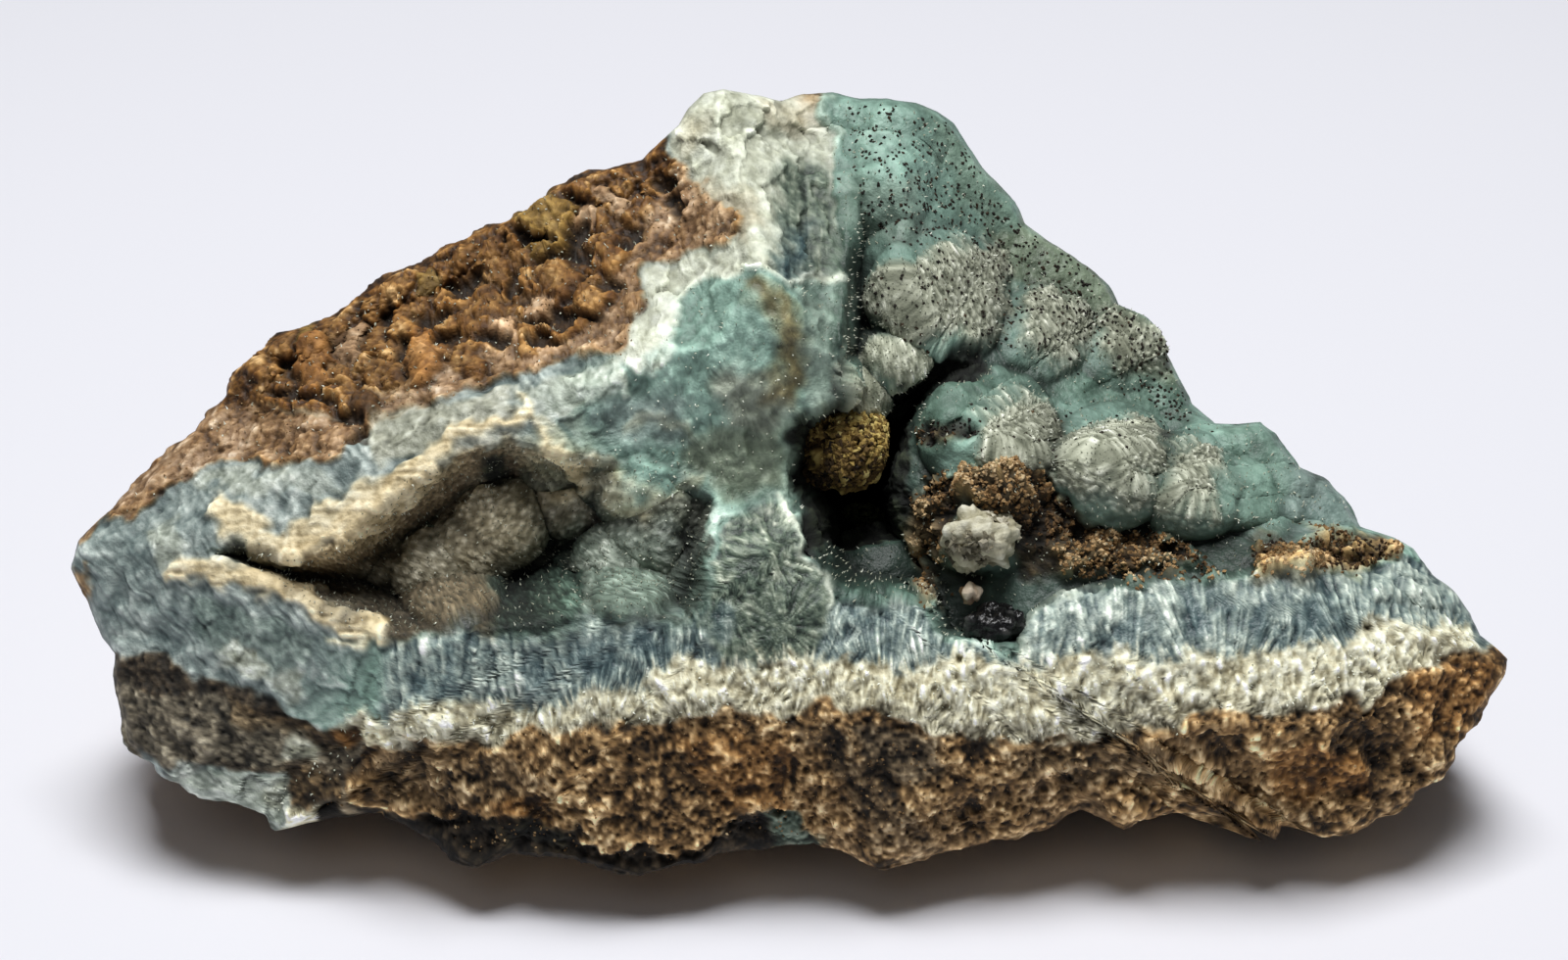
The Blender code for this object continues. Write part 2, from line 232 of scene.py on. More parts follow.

# %% [markdown]
# ## The near side's heights
# The relief has three layers. A smooth shell runs through a few dozen listed heights. Closed
# lines cut two openings into it with steep walls, down to a lining. On the lining sit the growths,
# each a part of a sphere, joined where they touch as real crusts of crystals are.

# %% Shell, openings and growths
SHELL_STATIONS = [
    (200, 760, 0.5), (330, 790, 1.5), (480, 840, 3.5), (650, 855, 4), (820, 830, 3.5), (900, 850, 4),
    (1080, 805, 3), (1280, 805, 2), (1430, 780, 0), (250, 700, 1.5), (480, 780, 5), (650, 790, 6),
    (850, 780, 6), (1050, 765, 5), (1250, 755, 4), (1450, 710, 0), (420, 745, 6), (600, 725, 7),
    (800, 705, 7), (1000, 715, 6.5), (1200, 700, 5.5), (1400, 670, 2.5), (1500, 665, -1),
    (150, 610, 0), (260, 640, 3), (400, 690, 6), (550, 670, 7), (680, 660, 7), (800, 650, 6.5),
    (900, 650, 6), (1100, 640, 5), (1250, 625, 4), (1400, 600, 1.5), (1480, 630, -1.5),
    (350, 640, 5), (570, 625, 7), (700, 628, 6.5), (770, 560, 5), (1120, 600, 3.5), (1250, 590, 2.5),
    (1380, 568, 0), (120, 550, -1), (180, 520, 0), (300, 500, 2), (400, 460, 3), (500, 420, 3.5),
    (600, 370, 4), (680, 310, 4), (760, 240, 2), (800, 180, 0), (740, 140, -4), (200, 470, -3),
    (300, 430, 0), (300, 380, -4), (400, 350, -3.5), (500, 300, -4), (600, 250, -4), (680, 200, -5),
    (600, 205, -8), (450, 280, -8), (560, 320, 0), (640, 420, 3), (720, 350, 4.5), (800, 320, 4),
    (840, 380, 2), (760, 430, 3), (700, 470, 2), (790, 490, 1), (60, 700, -4), (1560, 760, -5),
    (1560, 600, -8), (850, 60, -18), (1000, 150, -12), (1200, 350, -12),
]
LINING_STATIONS = [
    (240, 570, -3), (330, 590, -7), (430, 600, -7), (520, 560, -8), (600, 560, -7), (690, 590, -6),
    (640, 500, -3), (740, 540, -5), (560, 470, -3), (450, 500, -6), (840, 540, -24), (905, 430, -26),
    (970, 386, -24), (900, 600, -9), (880, 350, -14), (880, 140, -13), (940, 200, -12), (1000, 260, -11),
    (1060, 330, -11), (1130, 370, -12), (1200, 420, -13), (1010, 470, -5), (1130, 500, -5),
    (1240, 520, -5), (1350, 530, -7), (1000, 600, -1), (1100, 590, 0), (950, 560, -6), (1040, 620, 1),
    (870, 220, -18), (866, 320, -20), (1240, 570, 0), (1340, 555, -2), (860, 110, -15),
]
LEFT_VUG_EDGE = [
    (216, 566), (250, 556), (300, 572), (345, 560), (366, 532), (410, 500), (455, 470), (520, 448),
    (570, 462), (620, 470), (680, 480), (730, 510), (722, 560), (716, 604), (700, 630), (600, 628),
    (500, 642), (400, 648), (345, 628), (285, 600),
]
RIGHT_OPENING_EDGE = [
    (838, 20), (842, 130), (853, 190), (855, 290), (858, 350), (850, 410), (808, 425), (802, 500),
    (822, 530), (840, 590), (862, 612), (944, 620), (962, 655), (1040, 660), (1056, 632), (1088, 612),
    (1150, 598), (1260, 588), (1300, 572), (1350, 556), (1410, 542), (1700, 480), (1700, 20),
]
# how many millimetres each opening's wall falls in one view unit
LEFT_WALL_FALL = 0.2
RIGHT_WALL_FALL = 0.42
# view x, view y, radius in view units, height in millimetres
GROWTHS = [
    (425, 590, 78, -1.5), (502, 535, 80, -1.0), (350, 588, 46, -4), (565, 600, 55, -4), (640, 588, 82, -0.5),
    (692, 520, 85, 1.5), (590, 505, 62, -1), (570, 440, 62, 2), (392, 540, 52, -2), (655, 455, 85, 3),
    (900, 600, 64, -3.5), (905, 372, 42, -5), (868, 408, 40, -5),
    (1010, 462, 90, -0.5), (960, 505, 60, -2), (1130, 490, 84, -0.5), (1225, 512, 86, -1),
    (1305, 500, 78, -4), (1358, 532, 44, -5), (1012, 536, 64, 2),
    (925, 190, 112, -9), (1000, 235, 105, -9), (962, 310, 104, -5), (1075, 345, 92, -6),
    (1150, 385, 72, -7.5), (1100, 290, 62, -10), (882, 140, 72, -12), (1198, 412, 42, -10),
]
FRONT_ROUNDING_MM = 3.0
BACK_ROUNDING_MM = 5.0
BACK_STEEPNESS = 3.2
BLEND_MM = 0.5
NO_GROWTH_MM = -60.0


def spread(x, y, stations, softness=45.0):
    """A smooth surface through scattered heights: a sum of cones with rounded tips."""
    known = np.array(stations, float)
    gaps = np.hypot(known[:, None, 0] - known[None, :, 0], known[:, None, 1] - known[None, :, 1])
    mean = known[:, 2].mean()
    weights = np.linalg.solve(np.sqrt(gaps**2 + softness**2), known[:, 2] - mean)
    total = np.full(x.shape, mean)
    for (at_x, at_y, _), weight in zip(known, weights):
        total += weight * np.sqrt((x - at_x) ** 2 + (y - at_y) ** 2 + softness**2)
    return total


def rounding(depth_mm, radius):
    """A quarter circle rising from the rim, then a straight slope."""
    inner = np.clip(depth_mm, 0, radius)
    return np.sqrt(2 * radius * inner - inner**2) + np.maximum(depth_mm - radius, 0)


def near_heights(x, y, rim, depth_mm):
    """The near side's heights, which growth each place belongs to, and how far that one leads the next."""
    shell = spread(x, y, SHELL_STATIONS)
    for edge, fall in ((LEFT_VUG_EDGE, LEFT_WALL_FALL), (RIGHT_OPENING_EDGE, RIGHT_WALL_FALL)):
        shell -= fall * np.maximum(distance_inside(x, y, edge), 0)
    height = smooth_max(shell, spread(x, y, LINING_STATIONS), BLEND_MM)
    owner = np.full(x.shape, -1)
    best, next_best = height.copy(), np.full(x.shape, NO_GROWTH_MM)
    for number, (centre_x, centre_y, radius, top) in enumerate(GROWTHS):
        share = np.clip(1 - ((x - centre_x) ** 2 + (y - centre_y) ** 2) / radius**2, 0, None)
        dome = np.where(share > 0, top - radius * mm_per_unit * (1 - np.sqrt(share)), NO_GROWTH_MM)
        owner = np.where(dome > best, number, owner)
        next_best = np.maximum(next_best, np.minimum(best, dome))
        best = np.maximum(best, dome)
        height = smooth_max(height, dome, BLEND_MM)
    rim_limit = rim + rounding(depth_mm, FRONT_ROUNDING_MM)
    return -smooth_max(-height, -rim_limit, BLEND_MM / 2), owner, best - next_best


print(len(SHELL_STATIONS) + len(LINING_STATIONS), "heights and", len(GROWTHS), "growths")

# %% [markdown]
# ## One grid for the whole outline
# A square grid is pulled into a disc ring by ring, and the disc is stretched to the outline. A fan of
# triangles from the middle would crowd there, and a plain grid cut at the outline would leave steps.
# The outline itself wanders a little, most where crumbly limonite breaks and least on smooth crystal.

# %% From square grid to outline
RIM_CROWDING = 0.4


def square_to_disc(s, t):
    """Concentric squares become concentric circles, each kept at its own distance from the middle."""
    wide = np.abs(s) >= np.abs(t)
    big = np.where(wide, s, t)
    small = np.where(wide, t, s)
    quarter = math.pi / 4 * small / np.where(big == 0, 1.0, big)
    angle = np.where(wide, quarter, math.pi / 2 - quarter)
    return big * np.cos(angle), big * np.sin(angle)


def outline_at(angle):
    """The outline's reach from its centre and its rim height in each direction, with a broken edge."""
    across = (outline[:, 0] - OUTLINE_CENTRE[0]) / OUTLINE_STRETCH[0]
    down = (outline[:, 1] - OUTLINE_CENTRE[1]) / OUTLINE_STRETCH[1]
    angles, reach, turn = np.arctan2(down, across), np.hypot(across, down), 2 * math.pi
    level = np.interp(angle, angles, reach, period=turn)
    x = OUTLINE_CENTRE[0] + level * np.cos(angle) * OUTLINE_STRETCH[0]
    y = OUTLINE_CENTRE[1] + level * np.sin(angle) * OUTLINE_STRETCH[1]
    crumbly = np.maximum(step_up(y, 690, 760), step_up(-x, -700, -560) * step_up(-y, -540, -480))
    ring = np.stack([x, y, 0 * x], -1)
    wander = (fractal(ring / 26, 4, 5) - 0.5) * (0.006 + 0.016 * crumbly)
    return level + wander, np.interp(angle, angles, outline[:, 2], period=turn)


def view_grid(s, t):
    """View places, rim heights and depths inside the rim for a grid of square places."""
    disc_x, disc_y = square_to_disc(s, t)
    angle = np.arctan2(disc_y, disc_x)
    ring = np.hypot(disc_x, disc_y).clip(0, 1)
    share = ring + RIM_CROWDING * ring * (1 - ring)
    reach, rim = outline_at(angle)
    x = OUTLINE_CENTRE[0] + share * reach * np.cos(angle) * OUTLINE_STRETCH[0]
    y = OUTLINE_CENTRE[1] + share * reach * np.sin(angle) * OUTLINE_STRETCH[1]
    on_rim = (np.abs(s) == 1) | (np.abs(t) == 1)
    depth_mm = np.where(on_rim, 0, np.maximum(distance_inside(x, y, OUTLINE), 0.3)) * mm_per_unit
    return x, y, rim, depth_mm, on_rim


def grid_normals(points):
    """Unit normals of a grid of points, towards the eye: each sums the normals of the cells round it."""
    falling = points[1:, 1:] - points[:-1, :-1]
    rising = points[:-1, 1:] - points[1:, :-1]
    cell = np.cross(falling, rising)
    normal = np.zeros(points.shape)
    for rows in (slice(0, -1), slice(1, None)):
        for columns in (slice(0, -1), slice(1, None)):
            normal[rows, columns] += cell
    normal /= np.linalg.norm(normal, axis=-1, keepdims=True) + 1e-15
    return normal


FACE_CELLS = ((800, 400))
print("near grid", FACE_CELLS)

# %% [markdown]
# ## A skin to paint
# Each side of the stone is painted where it lies: every grid point gets a colour, a small height along
# its normal, and a dullness. Edges between zones follow given lines, but in real stone no edge is
# straight, so the lines are read at places pushed about by noise.

# %% The skin and its brushes


class Skin:
    """One side of the stone: its view places, places in mm, and each point's colour, bump and dullness."""

    def __init__(self, x, y, points, seed):
        self.x, self.y, self.spot = x, y, points / MM
        self.coarse = fractal(self.spot / 8, 3, seed)
        self.medium = fractal(self.spot / 2.6, 3, seed + 10)
        self.fine = fractal(self.spot / 1.0, 2, seed + 20)
        self.grit = noise(self.spot / 0.36, seed + 30)
        self.sway_x = x + 22 * (fractal(self.spot / 2.4, 3, seed + 40) - 0.5)
        self.sway_y = y + 22 * (fractal(self.spot / 2.4, 3, seed + 50) - 0.5)
        self.tint = np.zeros(x.shape + (3,))
        self.relief = np.zeros(x.shape)
        self.dull = np.full(x.shape, 0.6)

    def lay(self, share, colour, bumps=None, dullness=None):
        """Covers the skin by share with a colour, and with bumps and a dullness where they are given."""
        self.tint = mix(self.tint, colour, share)
        if bumps is not None:
            self.relief = mix(self.relief, bumps, share)
        if dullness is not None:
            self.dull = mix(self.dull, dullness, share)

    def part(self, line, margin, measure):
        """A measure of distance worked out only near a line, to save time, and zero elsewhere."""
        known = np.array(line, float)[:, :2]
        low, high = known.min(0) - margin, known.max(0) + margin
        x, y = self.sway_x, self.sway_y
        close = (x > low[0]) & (x < high[0]) & (y > low[1]) & (y < high[1])
        share = np.zeros(x.shape)
        share[close] = measure(x[close], y[close])
        return share

    def patch(self, line, soft=4.0):
        """One inside a closed line and zero outside it, soft across the edge."""
        return self.part(line, soft, lambda x, y: step_up(distance_inside(x, y, line), -soft, soft))

    def stroke(self, line, width, soft=3.0):
        """One along an open line of that width, soft at its sides."""
        half = width / 2
        return self.part(
            line,
            half + soft,
            lambda x, y: 1 - step_up(distance_to_stroke(x, y, line), half - soft, half + soft),
        )

    def blob(self, centre_x, centre_y, wide, high, soft=0.35):
        """One inside an oval, with a soft edge that is a share of its size."""
        away = np.hypot((self.sway_x - centre_x) / wide, (self.sway_y - centre_y) / high)
        return 1 - step_up(away, 1 - soft, 1 + soft)


def shade(level, stops):
    """A colour for each level from 0 to 1: straight runs between evenly spaced stops of 0 to 255."""
    known = np.array(stops) / 255
    at = np.linspace(0, 1, len(known))
    return np.stack([np.interp(level, at, known[:, i]) for i in range(3)], -1)


def contrast(level, strength):
    """A level from 0 to 1 spread away from the middle."""
    return np.clip((level - 0.5) * strength + 0.5, 0, 1)


face_s, face_t = np.meshgrid(np.linspace(-1, 1, FACE_CELLS[0] + 1), np.linspace(-1, 1, FACE_CELLS[1] + 1))
view_x, view_y, rim, depth_mm, on_rim = view_grid(face_s, face_t)
near, owner, lead = near_heights(view_x, view_y, rim, depth_mm)
near = np.where(on_rim, rim, near)
face_points = place(view_x, view_y, near)
face = Skin(view_x, view_y, face_points, 100)
print("near side has", face.x.size, "points; heights", near.min().round(1), "to", near.max().round(1), "mm")

# %% [markdown]
# ## Six ways a surface breaks and grows
# Limonite breaks into crumbs, so its level is plain noise with small pits. Blades and fibres spread
# from feet like open fans, so noise is drawn out along each foot's rays, or along one direction where
# they all lean the same way. Druse is crystals side by side: scattered cells, each tilted like a facet.
# Fur grows straight out of a dome, and plates lie slantwise over one another. Each texture gives a
# level for colour, and most give bumps for shape too.

# %% Textures of crumbs, streaks, facets, fur and plates


def crumbs(skin):
    """Crumbly rock: noise at four sizes, with round pits where small cells meet their points."""
    nearest, second, number, _ = scatter(skin.spot / 0.72, 31)
    level = contrast(0.15 * skin.coarse + 0.22 * skin.medium + 0.28 * skin.fine + 0.35 * skin.grit, 1.9)
    level = np.clip(level + 0.34 * (number - 0.5) - 0.2 * step_up(-nearest, -0.3, -0.12), 0, 1)
    bumps = 1.3 * (skin.coarse - 0.5) + 0.8 * (skin.medium - 0.5) + 0.5 * (skin.fine - 0.5)
    bumps += 0.34 * (skin.grit - 0.5) + 0.34 * (np.minimum(second - nearest, 0.4) - 0.2)
    return level, bumps - 0.2 * step_up(-nearest, -0.34, -0.1)


def fans(skin, feet, reach, width, length, seed, nudge=44):
    """Streaks that spread from the nearest foot: noise drawn out along that foot's rays."""
    known = np.array(feet, float)
    pushed_x = skin.x + nudge * (skin.medium - 0.5) + 0.6 * nudge * (skin.fine - 0.5)
    gaps = [np.hypot((pushed_x - fx) * 1.6, skin.y - fy) for fx, fy in known]
    which = np.argmin(gaps, axis=0)
    run, rise = skin.x - known[which, 0], known[which, 1] - skin.y
    ray = np.arctan2(run, rise) * reach / width
    away = np.hypot(run, rise) / length
    p = np.stack([ray + 0.8 * skin.medium, away + 1.5 * skin.medium, which * 3.7], -1)
    fine = noise(p * np.array([2.3, 2.0, 1.0]), seed + 1)
    return 0.58 * noise(p, seed) + 0.42 * fine


def slanted(skin, angle, width, length, seed):
    """Streaks that all lean the same way and bend a little: noise drawn out along one direction."""
    run = skin.x + 26 * (skin.coarse - 0.5) + 9 * (skin.medium - 0.5)
    drop = skin.y + 26 * (skin.coarse - 0.5) - 9 * (skin.medium - 0.5)
    lengthwise = run * math.cos(angle) + drop * math.sin(angle)
    across = drop * math.cos(angle) - run * math.sin(angle)
    p = np.stack([across / width, lengthwise / length, 2.0 * skin.medium], -1)
    return 0.6 * noise(p, seed) + 0.4 * noise(p * np.array([2.1, 1.8, 1.0]), seed + 1)


def facets(skin, size_mm, seed, roundness=0.5):
    """Crystals side by side: each cell is a small mound with a facet tilted its own way."""
    nearest, second, number, offset = scatter(skin.spot / np.array(size_mm), seed)
    lean = np.stack([np.sin(number * 40), np.cos(number * 57), np.sin(number * 73 + 1)], -1)
    slope = (offset * lean).sum(-1)
    gap = step_up(second - nearest, 0.0, 0.22)
    bumps = np.mean(size_mm) * (roundness * (0.35 - nearest**2) + 0.4 * slope) * gap
    level = np.clip(0.5 + 0.75 * slope + 0.55 * (number - 0.5), 0, 1) * (0.55 + 0.45 * gap)
    return level, bumps


def fur(skin, centres, width, length, seed):
    """Short fibres that stand out from a dome's middle: noise drawn out along rays, broken into grains."""
    run, drop = skin.x - centres[..., 0], skin.y - centres[..., 1]
    away = np.hypot(run, drop)
    ray = np.arctan2(run, drop) * 70 / width
    p = np.stack([ray + 1.8 * skin.fine, away / length + 1.2 * skin.fine, centres[..., 0] / 40], -1)
    worms = 0.6 * noise(p, seed) + 0.4 * noise(p * np.array([1.9, 1.6, 1.0]), seed + 1)
    nearest, _, number, _ = scatter(skin.spot / 0.42, seed + 5)
    grain = np.clip(1.25 - 1.7 * nearest, 0, 1)
    level = contrast(0.26 * worms + 0.3 * grain + 0.28 * skin.grit + 0.16 * number, 1.4)
    return level, 0.14 * (worms - 0.5) + 0.2 * (grain - 0.5)


def plates(skin, seed, size=(1.5, 4.2, 2.0), angle=0.6):
    """Thin plates lying slantwise: long cells, each with its own level and a step at its edge."""
    cosine, sine = math.cos(angle), math.sin(angle)
    turn = np.array([[cosine, 0, -sine], [0, 1, 0], [sine, 0, cosine]])
    bent_spot = skin.spot + 1.4 * skin.medium[..., None]
    nearest, second, number, offset = scatter(bent_spot @ turn / np.array(size), seed)
    gap = step_up(second - nearest, 0.0, 0.14)
    slope = offset[..., 2] * 0.8 + offset[..., 0] * 0.5 * (number - 0.5)
    level = np.clip(0.32 + 0.6 * number + 0.35 * slope, 0, 1) * (0.55 + 0.45 * gap)
    level = np.clip(level + 0.28 * (skin.grit - 0.5) + 0.24 * (skin.fine - 0.5), 0, 1)
    return level, 0.55 * (number - 0.5) + 0.45 * slope + 0.2 * (skin.grit - 0.5)


crumb_level, crumb_bumps = crumbs(face)
grain_level, grain_bumps = facets(face, (0.62, 0.8, 1.0), 41, 0.2)
plate_level, plate_bumps = plates(face, 51)
print("crumb levels average", crumb_level.mean().round(2), "and plates", plate_level.mean().round(2))

# %% [markdown]
# ## The tones
# The tones are named ranges from dark gaps to bright tips. They are the mineral's own colours as they
# look in soft daylight: iron gives the browns, copper the blue-green, and pure crystal is white. Only
# "cavity" is no colour of the stone: it is near black, painted shade for deep holes.

# %% Named tones, dark to light
TONES = {
    "teal": [(62, 84, 76), (98, 124, 112), (124, 153, 140), (156, 182, 168), (208, 221, 210)],
    "deep teal": [(20, 30, 26), (44, 60, 50), (72, 92, 80), (104, 126, 112), (142, 160, 146)],
    "pale blue": [(62, 76, 76), (96, 110, 108), (126, 138, 134), (162, 172, 166), (214, 218, 210)],
    "blue": [(34, 48, 52), (76, 94, 96), (120, 135, 130), (166, 177, 166), (226, 230, 218)],
    "fan": [(24, 33, 29), (54, 67, 58), (88, 101, 87), (128, 138, 121), (190, 195, 177)],
    "window": [(30, 46, 52), (54, 74, 80), (86, 105, 108), (146, 160, 156)],
    "white": [(130, 120, 88), (190, 183, 152), (220, 218, 192), (242, 242, 226)],
    "grey white": [(92, 86, 66), (150, 145, 120), (184, 180, 156), (216, 214, 196)],
    "plates": [(104, 106, 88), (160, 163, 142), (198, 202, 184), (238, 242, 230)],
    "cream": [(112, 94, 62), (170, 151, 112), (206, 189, 150), (228, 216, 184)],
    "fur": [(54, 56, 44), (90, 93, 78), (120, 123, 107), (152, 155, 139), (200, 202, 188)],
    "warm fur": [(56, 52, 40), (94, 89, 71), (126, 120, 100), (156, 150, 131), (198, 193, 175)],
    "cool fur": [(50, 58, 51), (86, 96, 86), (114, 124, 112), (144, 153, 141), (192, 198, 187)],
    "sage": [(48, 56, 42), (80, 90, 72), (108, 118, 98), (140, 148, 128), (190, 196, 178)],
    "druse": [(30, 16, 5), (66, 41, 14), (104, 72, 33), (148, 113, 66), (206, 176, 128)],
    "dark druse": [(14, 9, 4), (36, 24, 11), (62, 42, 20), (98, 70, 36)],
    "yellow druse": [(56, 42, 14), (98, 79, 36), (132, 110, 59), (178, 158, 104)],
    "orange druse": [(52, 31, 11), (98, 65, 30), (136, 97, 53), (184, 143, 95)],
    "pink druse": [(80, 58, 38), (138, 110, 81), (178, 151, 122), (222, 205, 182)],
    "rock": [(28, 20, 11), (72, 54, 31), (116, 89, 55), (160, 131, 90), (214, 190, 148)],
    "dark rock": [(12, 10, 8), (32, 27, 20), (56, 47, 35), (88, 76, 58)],
    "grey rock": [(28, 24, 18), (68, 60, 47), (108, 98, 80), (158, 148, 126)],
    "ochre": [(56, 34, 12), (112, 72, 30), (156, 108, 54), (200, 156, 100)],
    "tan": [(66, 50, 32), (120, 96, 66), (164, 138, 102), (204, 182, 148)],
    # painted shade: near black for deep holes and gaps that light doesn't reach
    "cavity": [(4, 5, 4), (9, 11, 8), (17, 20, 14), (34, 38, 26)],
    "stain": [(14, 9, 4), (44, 32, 16), (78, 59, 34), (128, 102, 64)],
    "olive": [(40, 32, 14), (82, 68, 38), (116, 100, 62), (152, 138, 96)],
    "black": [(4, 4, 5), (12, 12, 13), (26, 26, 27), (70, 70, 68)],
    "limonite": [(16, 11, 5), (58, 42, 19), (102, 80, 39), (158, 134, 72), (204, 188, 122)],
    "moss": [(12, 14, 6), (50, 58, 30), (86, 96, 56), (130, 134, 88)],
    "crust": [(16, 10, 5), (56, 40, 22), (104, 78, 46), (158, 126, 84), (206, 182, 142)],
}


def tone(level, name):
    """The named tone at each level."""
    return shade(level, TONES[name])


print(len(TONES), "tones")

# %% [markdown]
# ## The layers of the vein
# A vein fills from its walls inwards, so its minerals lie in bands: brown rock, then white blades,
# then blue fibres. The bands were painted as stacks under given lines, rather than by depth,
# because the break cuts across them at a slant and shows each band in a different width.

# %% Lines between the bands
FOOT_LINE = [
    (60, 900), (300, 868), (340, 808), (363, 770), (400, 761), (434, 751), (469, 758), (503, 758),
    (538, 749), (565, 747), (595, 742), (630, 742), (653, 745), (687, 735), (721, 731), (740, 729),
    (774, 731), (820, 727), (843, 718), (901, 731), (947, 743), (970, 752), (1015, 759), (1061, 754),
    (1100, 750), (1126, 748), (1172, 737), (1202, 737), (1239, 730), (1294, 728), (1349, 727),
    (1380, 718), (1411, 707), (1463, 679), (1508, 667), (1524, 664), (1560, 655),
]
WHITE_LINE = [
    (60, 900), (300, 800), (345, 745), (366, 724), (392, 737), (400, 722), (446, 717), (492, 719),
    (529, 722), (556, 729), (584, 719), (595, 706), (630, 703), (664, 699), (676, 676), (705, 667),
    (721, 683), (760, 683), (774, 681), (832, 676), (866, 674), (889, 686), (924, 686), (958, 679),
    (993, 674), (1027, 672), (1061, 674), (1100, 672), (1141, 667), (1218, 669), (1264, 673),
    (1325, 661), (1371, 658), (1401, 637), (1447, 633), (1493, 640), (1521, 661), (1560, 660),
]
BLUE_TOP = [
    (400, 644), (434, 653), (469, 641), (538, 641), (561, 634), (584, 625), (625, 630), (653, 634),
    (698, 632), (710, 611), (721, 600), (735, 560), (745, 525), (780, 507), (804, 516), (815, 533),
    (823, 559), (843, 590), (843, 609), (867, 612), (878, 618), (932, 622), (953, 635), (966, 657),
    (982, 664), (1036, 666), (1040, 646), (1062, 622), (1084, 612), (1120, 600), (1174, 594),
    (1246, 592), (1297, 594), (1348, 592), (1388, 584), (1415, 578), (1447, 570), (1560, 575),
]
LIP_LINE = [
    (360, 810), (400, 827), (457, 830), (492, 843), (515, 834), (584, 846), (618, 864), (698, 871),
    (744, 853), (775, 833), (800, 830), (830, 842), (850, 862), (872, 875), (900, 920),
]
WINDOWS = [
    (460, 688, 7, 26), (546, 692, 13, 22), (604, 670, 24, 20), (1219, 624, 9, 24), (1342, 624, 20, 24),
    (430, 700, 16, 10), (660, 660, 14, 16), (1150, 640, 12, 18), (1290, 630, 10, 22), (735, 640, 14, 20),
]
rng = np.random.default_rng(7)
fan_x = np.arange(360, 1560, 46) + rng.uniform(-14, 14, 27)
blue_feet = np.stack([fan_x, along(WHITE_LINE, fan_x) + 70 + rng.uniform(0, 60, 27)], -1)
blade_x = np.arange(350, 1560, 25) + rng.uniform(-8, 8, 49)
white_feet = np.stack([blade_x, along(FOOT_LINE, blade_x) + 18 + rng.uniform(-4, 16, 49)], -1)
FAN_PIECE = [
    (715, 640), (722, 600), (735, 560), (745, 525), (780, 507), (804, 516), (815, 533), (823, 559),
    (843, 590), (845, 640), (820, 680), (740, 680),
]

below_foot = step_up(face.sway_y - along(FOOT_LINE, face.sway_x), -5, 4)
below_white = step_up(face.sway_y - along(WHITE_LINE, face.sway_x), -5, 5)
below_blue = step_up(face.sway_y - along(BLUE_TOP, face.sway_x), -4, 4) * step_up(face.x, 380, 402)

face.lay(1, tone(plate_level, "teal"), 0.5 * plate_bumps, 0.5)
left_streak = slanted(face, 0.9, 4.5, 34, 57)
left_level = contrast(
    0.24 * left_streak + 0.06 * plate_level + 0.26 * face.medium + 0.24 * face.fine + 0.2 * face.grit, 1.45
)
left_bumps = 0.3 * (left_streak - 0.5) + 0.55 * (face.medium - 0.5) + 0.2 * (face.fine - 0.5)
left_area = step_up(-(face.sway_x + 0.9 * (face.sway_y - 420)), -640, -520)
face.lay(left_area, tone(left_level, "pale blue"), left_bumps, 0.5)

streak = fans(face, blue_feet, 150, 5.0, 60, 61)
scratch = fans(face, blue_feet, 150, 2.4, 22, 71, 80)
band_level = contrast(
    0.36 * streak + 0.26 * scratch + 0.12 * face.grit + 0.1 * face.fine + 0.16 * face.medium, 2.1
)
band_bumps = (
    0.5 * (streak - 0.5)
    + 0.3 * (scratch - 0.5)
    + 0.7 * (face.medium - 0.5)
    + 0.3 * (face.fine - 0.5)
)
face.lay(below_blue, tone(band_level, "blue"), band_bumps, 0.42)
fan_streak = fans(face, [(787, 566), (742, 600), (800, 640)], 60, 4.0, 30, 77)
fan_level = contrast(0.4 * fan_streak + 0.3 * face.grit + 0.3 * face.fine, 1.7)
fan_bumps = 0.5 * (fan_streak - 0.5) + 0.6 * (face.medium - 0.5)
face.lay(face.patch(FAN_PIECE, 5), tone(fan_level, "fan"), fan_bumps)
for at_x, at_y, wide, high in WINDOWS:
    face.lay(0.55 * face.blob(at_x, at_y, wide, high), tone(band_level, "window"), 0.5 * band_bumps, 0.25)

blade = fans(face, white_feet, 48, 3.8, 17, 81)
white_level = contrast(0.38 * blade + 0.2 * grain_level + 0.22 * face.grit + 0.2 * face.fine, 1.8) + 0.06
white_level = np.clip(white_level, 0, 1)
lower_share = step_up(
    (face.y - along(WHITE_LINE, face.x)) / (along(FOOT_LINE, face.x) - along(WHITE_LINE, face.x) + 1),
    0.45,
    0.95,
)
white_tone = mix(tone(white_level, "white"), tone(white_level, "grey white"), lower_share)
white_bumps = 0.6 * (blade - 0.5) + 0.5 * grain_bumps + 0.8 * (face.medium - 0.5) + 0.4 * (face.fine - 0.5)
risen = step_up(face.sway_y - along(WHITE_LINE, face.sway_x) + 26 * (streak - 0.42), -9, 7)
face.lay(np.maximum(below_white, 0.85 * risen), white_tone, white_bumps, 0.6)

face.lay(below_foot, tone(crumb_level, "rock"), crumb_bumps, 0.9)
under_lip = step_up(face.sway_y - along(LIP_LINE, face.sway_x), -4, 6) * step_up(-face.x, -905, -880)
face.lay(under_lip * below_foot, tone(0.7 * crumb_level, "dark rock"), crumb_bumps - 0.8, 0.95)
print("rock covers", below_foot.mean().round(3), "of the grid")
print("rock and white blades cover", below_white.mean().round(3))
